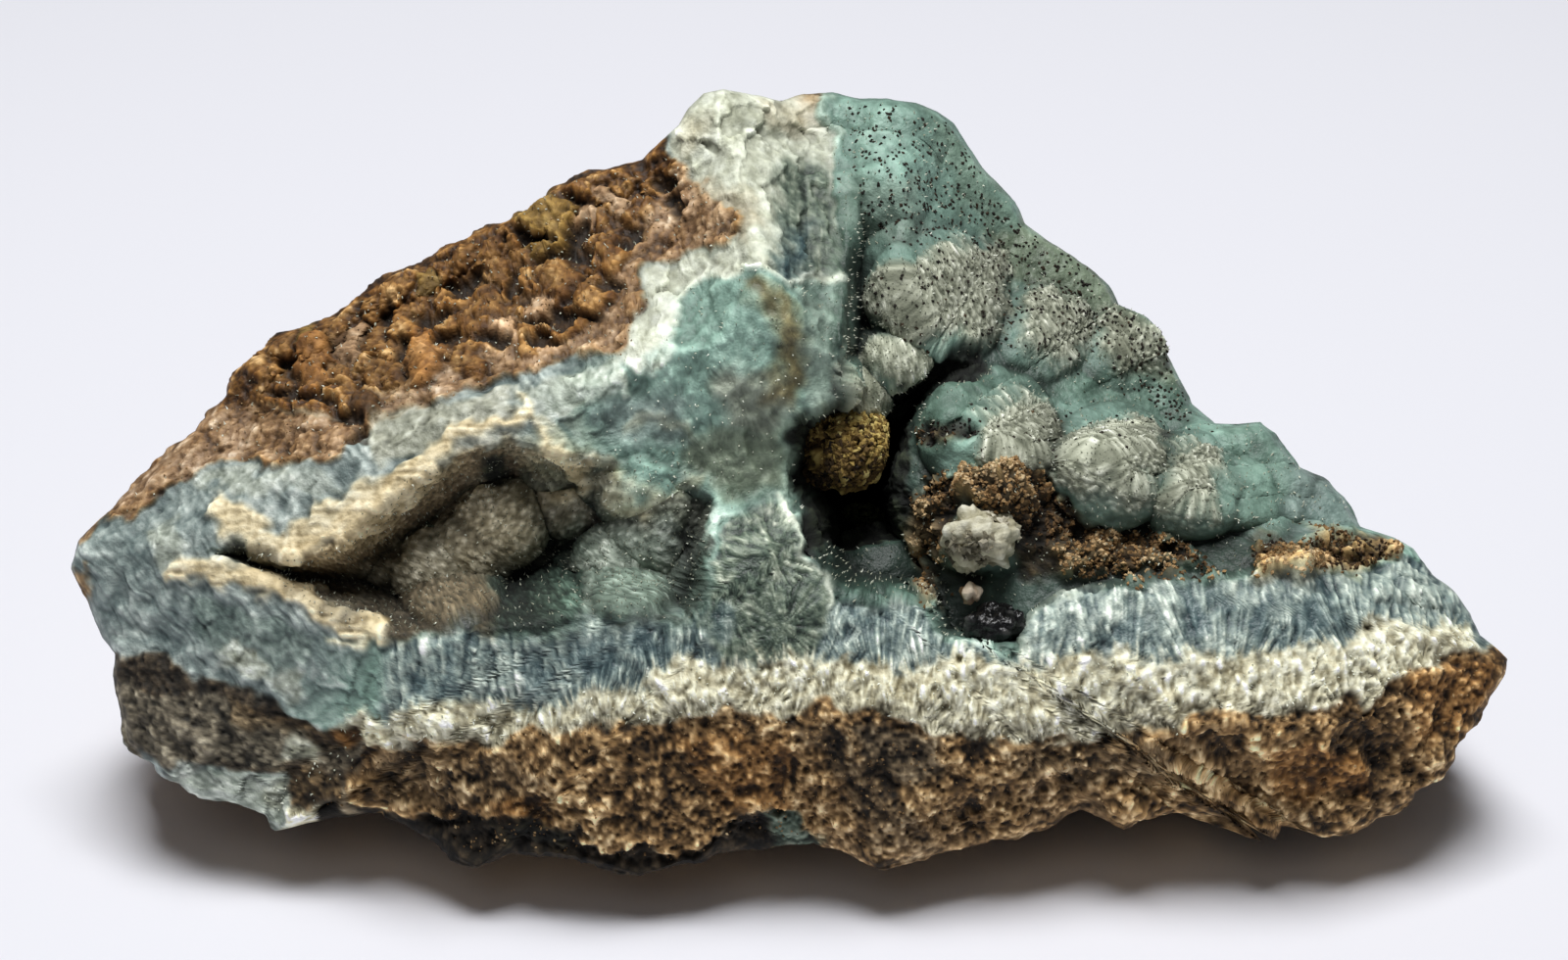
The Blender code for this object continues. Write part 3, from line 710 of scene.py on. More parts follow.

# %% [markdown]
# ## The brown druse on the upper left
# The flank is covered with small iron-stained crystals grown over round lumps. Each lump is a low
# dome in the bumps, and the crystals on it are facets. A few lumps stand out by colour or size, so
# those are listed one by one and the small ones between them are scattered.

# %% Druse and its lumps
DRUSE_EDGE = [
    (30, 560), (90, 541), (131, 522), (153, 517), (180, 497), (200, 481), (241, 470), (282, 475),
    (337, 470), (372, 454), (397, 423), (419, 415), (446, 404), (474, 393), (520, 382), (560, 372),
    (582, 367), (634, 370), (651, 354), (647, 330), (653, 316), (662, 297), (664, 275), (690, 260),
    (723, 249), (747, 243), (755, 227), (744, 214), (725, 201), (712, 182), (694, 152), (679, 152),
    (640, 130), (500, 160), (400, 210), (220, 320), (150, 420), (40, 520),
]
PINK_EDGE = [
    (30, 560), (90, 541), (131, 522), (180, 497), (241, 470), (337, 470), (372, 454), (397, 423),
    (446, 404), (520, 382), (582, 367), (640, 368), (648, 320), (664, 275), (740, 246), (744, 214),
    (700, 165), (672, 200), (640, 240), (618, 300), (600, 345), (520, 358), (450, 376), (400, 402),
    (350, 428), (280, 418), (230, 410), (190, 440), (120, 500),
]
LUMPS = [
    (535, 258, 14, "druse"), (502, 269, 18, "druse"), (433, 288, 13, "yellow druse"), (461, 308, 14, "druse"),
    (502, 308, 15, "druse"), (563, 230, 32, "yellow druse"),
    (554, 297, 22, "druse"), (550, 314, 16, "pink druse"),
    (602, 308, 17, "druse"), (520, 342, 17, "pink druse"), (543, 345, 15, "druse"),
    (433, 364, 25, "orange druse"), (572, 286, 20, "druse"), (323, 368, 25, "orange druse"),
    (287, 355, 15, "druse"), (364, 352, 17, "pink druse"), (386, 355, 14, "druse"), (416, 341, 17, "druse"),
    (375, 418, 18, "dark druse"), (315, 341, 13, "yellow druse"),
    (381, 325, 12, "druse"), (474, 262, 13, "druse"),
    (478, 330, 14, "druse"), (350, 384, 14, "druse"), (455, 340, 13, "druse"), (400, 305, 13, "druse"),
    (344, 336, 12, "druse"), (262, 372, 14, "druse"),
    (595, 232, 14, "pink druse"), (625, 205, 13, "pink druse"),
    (480, 365, 15, "druse"), (395, 385, 14, "druse"), (585, 330, 14, "druse"), (625, 262, 15, "druse"),
]
DARK_DRUSE = [
    (621, 293, 10, 12), (576, 327, 34, 6), (474, 293, 20, 9), (541, 244, 20, 8), (310, 401, 30, 5),
    (370, 448, 14, 9), (590, 262, 17, 15), (440, 330, 14, 10), (500, 350, 14, 10), (590, 240, 12, 10),
    (350, 430, 18, 8), (410, 360, 10, 12), (560, 345, 14, 6), (300, 375, 10, 8), (640, 245, 12, 9),
    (680, 190, 14, 10), (395, 330, 8, 10), (530, 290, 8, 16), (462, 352, 14, 8), (690, 215, 10, 8),
]
LUMP_REACH = 1.15

druse_level, druse_bumps = facets(face, 0.62, 91, 0.35)
knob_near, knob_next, _, _ = scatter(face.spot / 2.5 + 0.25 * face.fine[..., None], 95)
druse_lift = 1.25 * np.sqrt(np.clip(0.36 - knob_near**2, 0, 1))
druse_shape = 1.3 * druse_bumps + druse_lift + 0.7 * (face.medium - 0.5) + 0.4 * (face.fine - 0.5)
in_gap = step_up(knob_next - knob_near, 0.0, 0.35)
druse_colour_level = contrast(
    0.2 * druse_level + 0.22 * face.fine + 0.18 * in_gap + 0.22 * face.grit + 0.18 * face.medium, 1.6
)
in_druse = face.patch(DRUSE_EDGE, 5)
face.lay(in_druse, tone(druse_colour_level, "druse"), druse_shape, 0.62)
pinkness = face.patch(PINK_EDGE, 9) * (0.55 + 0.45 * face.medium)
pink_bumps = 0.7 * druse_bumps + 0.4 * druse_lift
face.lay(pinkness * in_druse, tone(druse_colour_level, "pink druse"), pink_bumps, 0.6)
for at_x, at_y, radius, name in LUMPS:
    away = np.hypot(face.sway_x - at_x, face.sway_y - at_y) / (LUMP_REACH * radius)
    dome = np.sqrt(np.clip(1 - away**2, 0, 1))
    share = step_up(dome, 0.05, 0.45)
    # painted light: each lump is painted lighter towards its middle
    lump_painted_light = np.clip(druse_colour_level * 0.72 + 0.3 * dome, 0, 1)
    face.lay(0.9 * share, tone(lump_painted_light, name), druse_bumps * 1.2 + 0.06 * radius * dome, 0.75)
for at_x, at_y, wide, high in DARK_DRUSE:
    share = 0.85 * face.blob(at_x, at_y, wide, high, 0.5)
    face.lay(share, tone(0.7 * druse_colour_level, "dark druse"), druse_bumps - 0.7, 0.8)
IRON_WASH = np.array([66, 38, 8]) / 255
face.lay(0.2 * in_druse * (1 - 0.6 * pinkness), IRON_WASH)
print("druse covers", in_druse.mean().round(3), "of the grid, with", len(LUMPS), "lumps set by hand")

# %% [markdown]
# ## The left end and the cream crust
# At the left tip the layers are broken across: pale blue blades above, a dark streak of iron ore
# through the middle, and greenish-white crystal at the foot. A crust of cream hemimorphite stands up
# as the rim of the left hollow, built of thin bent sheets, so it is a raised band with lines along it.

# %% Left end
LEFT_GREY = [
    (112, 672), (187, 673), (182, 701), (251, 709), (279, 732), (361, 752), (363, 770), (355, 788),
    (366, 830), (300, 826), (297, 790), (223, 788), (175, 790), (120, 760),
]
PATCHES_LEFT = [
    ("deep teal", [(195, 610), (290, 630), (330, 655), (300, 690), (240, 680), (190, 640)], 0.35),
    ("grey rock", LEFT_GREY, 0.9),
    ("dark rock", [(112, 668), (187, 673), (196, 690), (270, 716), (300, 734), (361, 748), (356, 760),
                   (290, 748), (240, 724), (180, 706), (118, 690)], 0.95),
    ("stain", [(236, 722), (290, 732), (350, 752), (340, 764), (280, 752), (240, 740)], 0.5),
    ("plates", [(223, 657), (262, 655), (281, 678), (268, 690), (236, 684), (222, 672)], 0.8),
    ("plates", [(272, 683), (306, 688), (312, 704), (296, 712), (274, 700)], 0.6),
    ("ochre", [(335, 744), (361, 750), (363, 764), (344, 766)], 0.8),
    ("plates", [(284, 757), (326, 762), (330, 776), (300, 780), (284, 772)], 0.75),
    ("pale blue", [(168, 785), (296, 792), (300, 826), (288, 850), (262, 838), (180, 815)], 0.95),
    ("plates", [(176, 788), (296, 794), (300, 826), (286, 846), (262, 834), (184, 812)], 0.45),
    ("plates", [(272, 800), (295, 800), (292, 828), (276, 824)], 0.6),
    ("dark rock", [(223, 779), (366, 781), (366, 789), (300, 792), (223, 787)], 0.8),
    ("stain", [(297, 790), (348, 788), (350, 820), (312, 828), (298, 812)], 0.75),
    ("ochre", [(66, 576), (82, 578), (96, 616), (86, 626), (70, 600)], 0.7),
    ("plates", [(148, 540), (184, 534), (196, 556), (170, 582), (150, 574)], 0.5),
    ("plates", [(286, 472), (330, 478), (352, 500), (322, 512), (290, 498)], 0.35),
    ("grey white", [(380, 425), (430, 408), (520, 396), (524, 430), (450, 452), (390, 470)], 0.6),
    ("plates", [(520, 394), (640, 374), (652, 400), (600, 416), (560, 424), (528, 420)], 0.5),
    ("plates", [(575, 415), (606, 412), (612, 470), (584, 466)], 0.35),
    ("plates", [(200, 486), (300, 474), (296, 490), (220, 506)], 0.5),
]

end_streak = slanted(face, 0.35, 5, 26, 58)
ragged = contrast(0.3 * end_streak + 0.2 * plate_level + 0.26 * face.fine + 0.24 * face.grit, 1.7)
for name, line, strength in PATCHES_LEFT:
    rocky = name in ("grey rock", "dark rock", "stain", "ochre")
    bumps = 0.7 * crumb_bumps + 0.2 * plate_bumps if rocky else 0.5 * plate_bumps
    face.lay(strength * face.patch(line, 5), tone(ragged, name), bumps, 0.85 if rocky else 0.5)
print(len(PATCHES_LEFT), "patches at the left end")

# %% [markdown]
# ## The left hollow
# Growths in the hollow carry fur: fibres that stand straight out all round each dome. Its level runs
# along rays from the middle of whichever dome a point belongs to. Warm domes lie on the left, where
# iron has washed in, and cooler ones on the right. The fur also carries painted shade: it is lighter at
# each dome's middle and darker towards its edge and in the creases between domes.

# %% Fur and the left hollow's growths
growths = np.array(GROWTHS)
distances = [np.hypot(face.x - cx, face.y - cy) / r for cx, cy, r, _ in GROWTHS]
nearest_growth = np.where(owner < 0, np.argmin(distances, axis=0), owner)
growth_middle = growths[nearest_growth][..., :2]
# view x, view y, radius in view units, height in millimetres
SWELLS = [
    (460, 583, 62, 2.2), (511, 531, 52, 1.7), (643, 579, 60, 2.2), (656, 512, 50, 1.3), (392, 560, 40, 1.0),
    (575, 515, 36, 0.8), (575, 600, 40, 0.6), (958, 306, 74, 2.0), (1066, 340, 52, 1.7), (1150, 356, 52, 1.6),
    (1085, 275, 52, 0.9), (916, 372, 36, 1.5), (874, 398, 36, 1.5), (1010, 446, 72, 1.7),
    (1132, 476, 66, 1.9), (1214, 498, 58, 1.7), (1290, 500, 54, 1.2), (900, 590, 62, 1.0),
    (1352, 530, 40, 0.8), (915, 190, 84, 0.8), (1040, 245, 74, 0.7), (1180, 380, 66, 0.7),
    (885, 125, 70, 0.7), (975, 165, 74, 0.7), (1120, 415, 60, 0.5), (1380, 545, 44, 0.6),
    (1250, 450, 54, 0.8), (1110, 300, 60, 0.7),
]
swell, swell_share = np.zeros(face.x.shape), np.zeros(face.x.shape)
for at_x, at_y, radius, rise in SWELLS:
    dome = np.sqrt(np.clip(1 - ((face.x - at_x) ** 2 + (face.y - at_y) ** 2) / radius**2, 0, 1))
    swell_share = np.where(rise * dome > swell, dome, swell_share)
    swell = smooth_max(swell, rise * dome, 0.15)
fur_level, fur_bumps = fur(face, growth_middle, 5.0, 5.5, 111)
off_middle = np.hypot(face.x - growth_middle[..., 0], face.y - growth_middle[..., 1])
share_out = np.clip(off_middle / growths[nearest_growth][..., 2], 0, 1.3)
# painted shade: lighter at each dome's middle, darker towards its edge and in the creases where domes meet
crease = 1 - step_up(lead + 0.5 * (face.fine - 0.5), 0.0, 1.7)
painted_dome_light = np.clip(1.12 - 0.5 * share_out**2, 0.3, 1) * (1 - 0.62 * crease)
WARM = (0, 1, 2, 6, 8)
COOL = (4, 5, 7, 9)
in_left_hollow = step_up(distance_inside(face.sway_x, face.sway_y, LEFT_VUG_EDGE), -4, 5)
# painted shade: deep teal shows in the creases, where the warm and cool fur below fade with the painted dome
# light
face.lay(in_left_hollow, tone(fur_level * 0.7, "deep teal"), fur_bumps, 0.7)
for names, name in ((WARM, "warm fur"), (COOL, "cool fur")):
    share = in_left_hollow * np.isin(nearest_growth, names) * step_up(painted_dome_light, 0.2, 0.62)
    face.lay(share, tone(np.clip(0.12 + fur_level * (0.25 + 0.75 * painted_dome_light), 0, 1), name))
PATCHES_HOLLOW = [
    ("stain", [(232, 562), (330, 572), (352, 600), (330, 618), (262, 604)], 0.75),
    # painted shade: the "deep teal", "stain" and "cavity" patches on the next four lines darken the lower
    # sides of the domes
    ("deep teal", [(508, 584), (560, 574), (586, 600), (600, 634), (548, 646), (506, 644)], 0.9),
    ("stain", [(352, 610), (400, 604), (470, 608), (512, 620), (500, 646), (400, 650), (350, 632)], 0.5),
    ("deep teal", [(600, 596), (640, 590), (690, 592), (722, 600), (716, 632), (600, 636)], 0.5),
    ("cavity", [(514, 590), (556, 582), (576, 626), (548, 640), (512, 636)], 0.4),
    ("cream", [(470, 510), (500, 496), (540, 500), (556, 540), (530, 572), (484, 572), (466, 540)], 0.22),
    ("deep teal", [(700, 575), (724, 560), (724, 610), (704, 632)], 0.7),
    ("deep teal", [(560, 540), (600, 528), (606, 560), (580, 590), (560, 580)], 0.5),
    ("teal", [(604, 404), (690, 398), (698, 456), (650, 470), (610, 450)], 0.5),
    ("tan", [(306, 566), (345, 542), (396, 516), (430, 484), (466, 462), (524, 444), (552, 458), (546, 482),
             (486, 492), (446, 524), (404, 562), (352, 594), (318, 592)], 0.6),
    ("cream", [(306, 562), (345, 538), (396, 508), (430, 478), (468, 456), (474, 474), (440, 502),
               (400, 536), (352, 570), (318, 580)], 0.7),
    ("fur", [(610, 478), (650, 462), (724, 478), (726, 540), (690, 536), (640, 530), (606, 506)], 0.75),
    ("cream", [(544, 440), (592, 462), (604, 500), (566, 508), (536, 486)], 0.45),
]
for name, line, strength in PATCHES_HOLLOW:
    face.lay(strength * face.patch(line, 12), tone(fur_level * 0.9, name), fur_bumps)
print("left hollow covers", in_left_hollow.mean().round(3))

# %% [markdown]
# ## The middle mass and the peak
# Right of the hollow the blue-green crystal is massive, with furry beige rosettes and one strip
# stained olive. Its upper edge is a white seam, and the peak above is a heap of white plates with
# blue fibres down its right side. Rosettes use fans whose feet are their own middles.

# %% Middle mass and peak
MIDDLE_EDGE = [
    (603, 461), (600, 420), (634, 392), (651, 370), (671, 372), (677, 354), (681, 333), (694, 311),
    (703, 296), (723, 279), (744, 270), (762, 263), (788, 272), (805, 285), (827, 289), (858, 292),
    (858, 350), (852, 410), (810, 425), (802, 505), (745, 525), (700, 505), (640, 505),
]
PEAK_EDGE = [
    (640, 340), (662, 297), (668, 275), (690, 262), (723, 251), (750, 243), (755, 227), (744, 214),
    (725, 201), (712, 182), (694, 152), (665, 140), (690, 70), (860, 60), (860, 300), (827, 292),
    (788, 274), (762, 266), (723, 281), (694, 313), (677, 356), (655, 372), (640, 372),
]
rosette_feet = [
    (756, 404), (700, 425), (660, 480), (730, 470), (800, 350), (838, 360), (720, 330), (620, 440),
]
rosette = fans(face, rosette_feet, 45, 3.6, 13, 121)
middle_level = contrast(0.2 * rosette + 0.3 * face.medium + 0.24 * face.grit + 0.26 * face.fine, 0.7)
middle_bumps = 0.2 * (rosette - 0.5) + 0.7 * (face.medium - 0.5) + 0.3 * (face.fine - 0.5)
in_middle = face.patch(MIDDLE_EDGE, 12)
face.lay(in_middle, tone(middle_level, "teal"), middle_bumps, 0.5)
peak_level, peak_bumps = plates(face, 131, (1.3, 3.4, 2.6), 0.9)
in_peak = face.patch(PEAK_EDGE, 6)
peak_level = np.clip(0.36 + 0.44 * peak_level + 0.24 * (face.fine - 0.5), 0, 1)
face.lay(in_peak, tone(peak_level, "plates"), 0.6 * peak_bumps + 0.45 * (face.medium - 0.5), 0.5)
PATCHES_MIDDLE = [
    ("teal", [(690, 300), (760, 285), (775, 340), (740, 385), (690, 370)], 0.35, "rosette"),
    ("fur", [(728, 384), (790, 378), (806, 420), (780, 445), (735, 436)], 0.8, "rosette"),
    ("cool fur", [(815, 300), (856, 300), (854, 410), (820, 420), (806, 370)], 0.6, "rosette"),
    ("sage", [(690, 440), (800, 435), (800, 500), (740, 505), (700, 480)], 0.85, "rosette"),
    ("olive", [(758, 286), (776, 288), (800, 306), (816, 340), (814, 378), (800, 412), (784, 408),
               (790, 372), (792, 340), (782, 312), (760, 300)], 0.8, "rosette"),
    ("pale blue", [(612, 404), (692, 400), (696, 450), (650, 462), (606, 446)], 0.6, "rosette"),
    ("fan", [(800, 170), (852, 180), (852, 292), (820, 288), (796, 272), (790, 220)], 0.9, "streak"),
    ("window", [(800, 228), (822, 232), (820, 284), (802, 280)], 0.8, "streak"),
    ("tan", [(806, 88), (872, 86), (880, 106), (820, 110)], 0.85, "plate"),
    ("olive", [(690, 120), (720, 108), (724, 140), (706, 158)], 0.35, "plate"),
    ("tan", [(700, 180), (760, 200), (770, 240), (740, 240), (712, 205)], 0.35, "plate"),
    ("tan", [(780, 110), (850, 106), (846, 128), (790, 134)], 0.3, "plate"),
]
upright = fans(face, [(815, 420), (835, 420)], 190, 5, 44, 141)
upright_level = 0.85 * contrast(0.5 * upright + 0.25 * face.grit + 0.25 * face.fine, 2.0)
PICTURED = {"rosette": middle_level, "streak": upright_level, "plate": peak_level}
for name, line, strength, kind in PATCHES_MIDDLE:
    face.lay(strength * face.patch(line, 13), tone(PICTURED[kind], name))
print("middle covers", in_middle.mean().round(3), "and peak", in_peak.mean().round(3))

# %% [markdown]
# ## The right opening
# Behind the right opening stands a smooth blue-green dome with fur on its lower bulges, and a row of
# furry domes in front of it. Where fur stops, the same crust shows as bare crystal, so patches of fur
# are laid over it along given lines. Between the two rows everything falls away into darkness.

# %% Domes of the right opening
FUR_PATCHES = [
    [(886, 292), (899, 276), (928, 265), (961, 257), (990, 251), (1014, 254), (1033, 268), (1028, 294),
     (1025, 321), (1014, 348), (990, 364), (969, 364), (947, 351), (920, 340), (894, 321)],
    [(1028, 321), (1044, 302), (1068, 294), (1095, 308), (1111, 329), (1111, 361), (1095, 383),
     (1076, 385), (1052, 380), (1028, 361)],
    [(1111, 335), (1129, 321), (1156, 326), (1183, 345), (1188, 369), (1175, 383), (1135, 383), (1113, 375)],
    [(1014, 410), (1036, 406), (1062, 416), (1084, 442), (1079, 462), (1062, 481), (1036, 484),
     (997, 468), (982, 451), (993, 432)],
    [(1067, 458), (1102, 447), (1142, 434), (1169, 436), (1187, 458), (1187, 487), (1174, 503),
     (1142, 511), (1107, 509), (1080, 487)],
    [(1190, 466), (1222, 460), (1244, 471), (1246, 501), (1241, 533), (1222, 543), (1201, 530), (1179, 514)],
    [(883, 352), (915, 346), (945, 356), (947, 392), (925, 400), (900, 390), (884, 374)],
    [(850, 378), (880, 374), (902, 392), (900, 426), (872, 434), (852, 418)],
]
CAVITY_EDGE = [
    (808, 425), (830, 410), (850, 404), (880, 430), (900, 432), (906, 404), (936, 392), (948, 366),
    (990, 364), (1002, 382), (985, 396), (950, 400), (936, 424), (932, 460), (936, 520), (930, 560),
    (880, 560), (846, 556), (826, 570), (818, 520), (804, 505), (802, 440),
]
PATCHES_RIGHT = [
    # painted highlight: this patch lightens the upper left of the big dome
    ("teal", [(862, 120), (900, 108), (914, 140), (890, 160), (866, 150)], 0.6, 1.25),
    ("cool fur", [(866, 186), (930, 180), (936, 240), (890, 248), (862, 230)], 0.45, 1.0),
    # painted shade: this patch darkens the crevice along the opening's left edge
    ("deep teal", [(846, 200), (866, 210), (872, 290), (866, 362), (850, 360)], 0.75, 0.7),
    ("deep teal", [(948, 392), (1000, 392), (1010, 416), (980, 440),
                   (966, 500), (940, 500), (934, 430)], 0.6, 0.8),
    ("deep teal", [(1180, 540), (1290, 548), (1290, 590), (1215, 596), (1180, 570)], 0.75, 0.9),
    ("deep teal", [(1068, 496), (1110, 512), (1180, 514), (1222, 546), (1280, 560), (1276, 580),
                   (1180, 548), (1090, 520)], 0.6, 0.9),
    ("deep teal", [(1180, 440), (1196, 450), (1196, 520), (1180, 510)], 0.5, 1.0),
    ("deep teal", [(1066, 420), (1086, 430), (1082, 480), (1066, 470)], 0.5, 0.9),
    ("pale blue", [(1304, 470), (1352, 486), (1392, 540), (1340, 552), (1300, 530)], 0.6, 0.85),
    # painted shade: this near-black patch darkens the low dome under the dark gap
    ("deep teal", [(836, 560), (880, 556), (936, 566), (936, 616), (880, 616), (842, 600)], 0.97, 0.18),
    ("deep teal", [(1010, 378), (1110, 386), (1210, 384), (1212, 440), (1110, 414), (1010, 404)], 0.55, 1.15),
    ("sage", [(1000, 244), (1040, 226), (1112, 270), (1144, 312), (1188, 345), (1200, 392), (1150, 386),
              (1108, 326), (1060, 300), (1026, 290)], 0.85, 1.0),
    ("sage", [(940, 116), (1000, 170), (1040, 226), (1000, 244), (960, 180)], 0.3, 1.1),
    ("deep teal", [(1240, 440), (1300, 445), (1312, 540), (1250, 550)], 0.35, 1.2),
]
in_right = step_up(distance_inside(face.sway_x, face.sway_y, RIGHT_OPENING_EDGE), -4, 5)
bare_level = contrast(0.2 * fur_level + 0.25 * face.medium + 0.25 * face.grit + 0.3 * face.fine, 0.6)
# painted shade: the bare crystal is darker towards each dome's edge and in the creases
bare_level = np.clip(bare_level * (0.5 + 0.5 * painted_dome_light), 0, 1)
face.lay(in_right, tone(0.9 * bare_level, "teal"), 0.3 * fur_bumps + 0.2 * (face.fine - 0.5), 0.45)
for name, line, strength, gain in PATCHES_RIGHT:
    face.lay(strength * face.patch(line, 9), tone(np.clip(gain * bare_level, 0, 1), name))
fur_share = np.zeros(face.x.shape)
for line in FUR_PATCHES:
    fur_share = np.maximum(fur_share, face.patch(line, 19))
broken_fur = step_up(fur_share + 0.4 * (fur_level - 0.5), 0.15, 0.95)
# painted shade: the fur is darker towards each dome's edge and in the creases
fur_shade = np.clip(0.08 + fur_level * (0.4 + 0.6 * painted_dome_light), 0, 1)
face.lay(broken_fur, tone(fur_shade, "fur"), fur_bumps + 0.55 * fur_share, 0.85)
# painted shade: the deep gap between the rows is painted near black
in_cavity = face.patch(CAVITY_EDGE, 7)
face.lay(0.96 * in_cavity, tone(crumb_level, "cavity"), crumb_bumps, 0.95)
print("fur covers", broken_fur.mean().round(3), "and the dark gap", in_cavity.mean().round(3))

# %% [markdown]
# ## Crusts, stains and broken pieces
# Last come the things that lie over the rest: the cream rim of the left hollow, white seams, brown
# stains that iron-bearing water left in the low places, patches of odd tone in the foot, and small
# holes painted near black as painted shade.

# %% Rims, stains and patches
CREAM_STROKES = [
    ([(182, 585), (208, 585), (239, 592), (277, 597), (310, 608), (335, 628),
      (361, 638), (389, 646)], 22, 0.9),
    ([(264, 559), (290, 564), (305, 559), (315, 541), (335, 526), (356, 523),
      (366, 508), (389, 493)], 26, 0.85),
    ([(350, 540), (389, 522), (404, 500), (432, 480)], 28, 0.75),
    ([(556, 430), (566, 462), (590, 484), (622, 482)], 20, 0.45),
    ([(300, 564), (318, 543), (359, 529), (385, 502), (417, 482), (429, 476), (441, 458), (464, 446),
      (491, 441), (523, 429), (535, 420)], 14, 0.9),
    ([(348, 656), (372, 655), (400, 648)], 8, 0.7),
    ([(552, 458), (564, 473), (587, 485), (593, 490)], 7, 0.8),
    ([(541, 493), (564, 511), (593, 496)], 6, 0.6),
    ([(530, 400), (545, 430), (560, 455), (590, 480)], 9, 0.6),
    ([(628, 500), (658, 514), (681, 506), (700, 490)], 20, 0.4),
    ([(640, 440), (668, 430), (700, 436)], 12, 0.3),
]
CREAM_BLOB = [(213, 530), (226, 513), (256, 511), (279, 530), (272, 548), (250, 557), (222, 554)]
SEAMS = [
    ([(636, 400), (636, 372), (651, 370), (671, 372), (677, 354), (681, 333), (694, 311), (703, 296),
      (723, 279), (744, 270), (762, 263), (788, 272), (805, 285), (827, 289), (851, 292)], 10, 0.8),
    ([(795, 510), (812, 532), (822, 560), (840, 592), (842, 610)], 8, 0.8),
    ([(1040, 662), (1046, 640), (1066, 620), (1090, 610), (1120, 602)], 7, 0.7),
    ([(287, 415), (337, 429)], 5, 0.5),
    ([(845, 100), (850, 140), (846, 180), (852, 230)], 7, 0.5),
]
STAINS_AND_SHADED_HOLES = [
    ("stain", [(932, 520), (950, 496), (985, 488), (1020, 486), (1060, 496), (1084, 512), (1080, 548),
               (1050, 552), (1030, 526), (985, 520), (950, 556), (934, 548)], 0.9),
    ("tan", [(934, 520), (956, 530), (960, 618), (938, 620)], 0.85),
    ("stain", [(1040, 498), (1080, 503), (1104, 530), (1169, 543), (1217, 573), (1214, 586), (1107, 592),
               (1040, 594), (1034, 560)], 0.88),
    ("ochre", [(1090, 540), (1160, 552), (1200, 574), (1160, 584), (1100, 566)], 0.3),
    ("ochre", [(1276, 594), (1286, 551), (1321, 551), (1415, 549), (1430, 566),
               (1388, 581), (1308, 594)], 0.7),
    # painted shade: this and the next "cavity" patch paint two small holes near black
    ("cavity", [(973, 581), (990, 580), (1012, 584), (1012, 593), (984, 596)], 0.95),
    ("cavity", [(488, 470), (500, 464), (523, 468), (520, 492), (498, 496)], 0.95),
    ("stain", [(950, 442), (978, 442), (982, 456), (960, 460), (948, 452)], 0.8),
    ("dark rock", [(812, 744), (850, 742), (960, 868), (900, 872), (848, 790)], 0.6),
    ("grey rock", [(862, 742), (955, 748), (965, 800), (900, 800)], 0.7),
    ("ochre", [(1290, 770), (1390, 768), (1400, 812), (1310, 818)], 0.6),
    ("tan", [(1040, 790), (1120, 788), (1124, 836), (1050, 842)], 0.5),
    ("ochre", [(500, 820), (560, 818), (560, 846), (510, 848)], 0.6),
    ("ochre", [(700, 752), (800, 748), (806, 828), (740, 834), (700, 790)], 0.45),
    ("grey rock", [(372, 764), (520, 766), (560, 800), (470, 824), (390, 816)], 0.3),
    ("tan", [(838, 842), (1000, 838), (1000, 866), (900, 888), (850, 868)], 0.5),
    # painted shade: a near-black patch at the bottom edge
    ("cavity", [(500, 842), (540, 838), (584, 846), (580, 862), (520, 862)], 0.7),
    ("deep teal", [(776, 838), (806, 832), (842, 848), (840, 866), (790, 866)], 0.7),
    ("tan", [(1400, 795), (1436, 792), (1440, 808), (1410, 812)], 0.5),
    ("ochre", [(1440, 690), (1530, 672), (1530, 700), (1490, 750), (1440, 760)], 0.5),
    ("grey rock", [(1020, 764), (1180, 748), (1190, 780), (1060, 800)], 0.35),
]
CRUSTS = [
    ([(932, 520), (950, 496), (985, 486), (1020, 484), (1060, 494), (1088, 510), (1084, 548),
      (1050, 552), (1036, 522), (985, 512), (955, 530)], 1.0),
    ([(1060, 560), (1075, 536), (1120, 530), (1180, 544), (1222, 566),
      (1246, 588), (1214, 592), (1080, 592)], 0.9),
    ([(1276, 594), (1286, 553), (1330, 548), (1415, 549), (1430, 566), (1388, 581), (1308, 594)], 0.9),
    ([(934, 520), (956, 530), (966, 600), (938, 618)], 0.3),
    ([(948, 440), (980, 440), (984, 458), (950, 460)], 0.7),
]
for name, line, strength in STAINS_AND_SHADED_HOLES:
    face.lay(strength * face.patch(line, 8), tone(crumb_level, name), 0.8 * crumb_bumps, 0.9)
sheet_lines = contrast(0.4 * noise(np.stack([face.x / 30, face.y / 4.0, 0 * face.x], -1), 151)
                       + 0.3 * face.fine + 0.3 * face.grit, 1.7)
sheet_lines = np.clip(0.3 + 0.75 * sheet_lines, 0, 1)
for line, width, strength in CREAM_STROKES:
    share = strength * face.stroke(line, width, 6)
    face.lay(share, tone(sheet_lines, "cream"), 0.42 + 0.4 * (sheet_lines - 0.5), 0.6)
face.lay(0.9 * face.patch(CREAM_BLOB, 8), tone(sheet_lines, "cream"), 0.45 + 0.4 * (sheet_lines - 0.5), 0.6)
for line, width, strength in SEAMS:
    share = strength * face.stroke(line, width, 4) * (0.4 + 0.6 * face.medium)
    face.lay(share, tone(np.clip(0.3 + 0.7 * peak_level, 0, 1), "plates"), 0.35 + 0.5 * peak_bumps, 0.55)
print(len(CREAM_STROKES), "cream strokes,", len(SEAMS), "seams and", len(STAINS_AND_SHADED_HOLES), "stains")

# %% [markdown]
# ## Shadow in the hollows, then the shape itself
# Shade gathers in the low places of a rough stone, so points that lie below the average of their
# surroundings are darkened with painted shade, once for small grains and once for whole hollows. In the
# hollows the tint is darkened further, least in the middles of the swells. The bumps then
# push each point along its normal, fading to nothing at the rim so that both sides still meet.

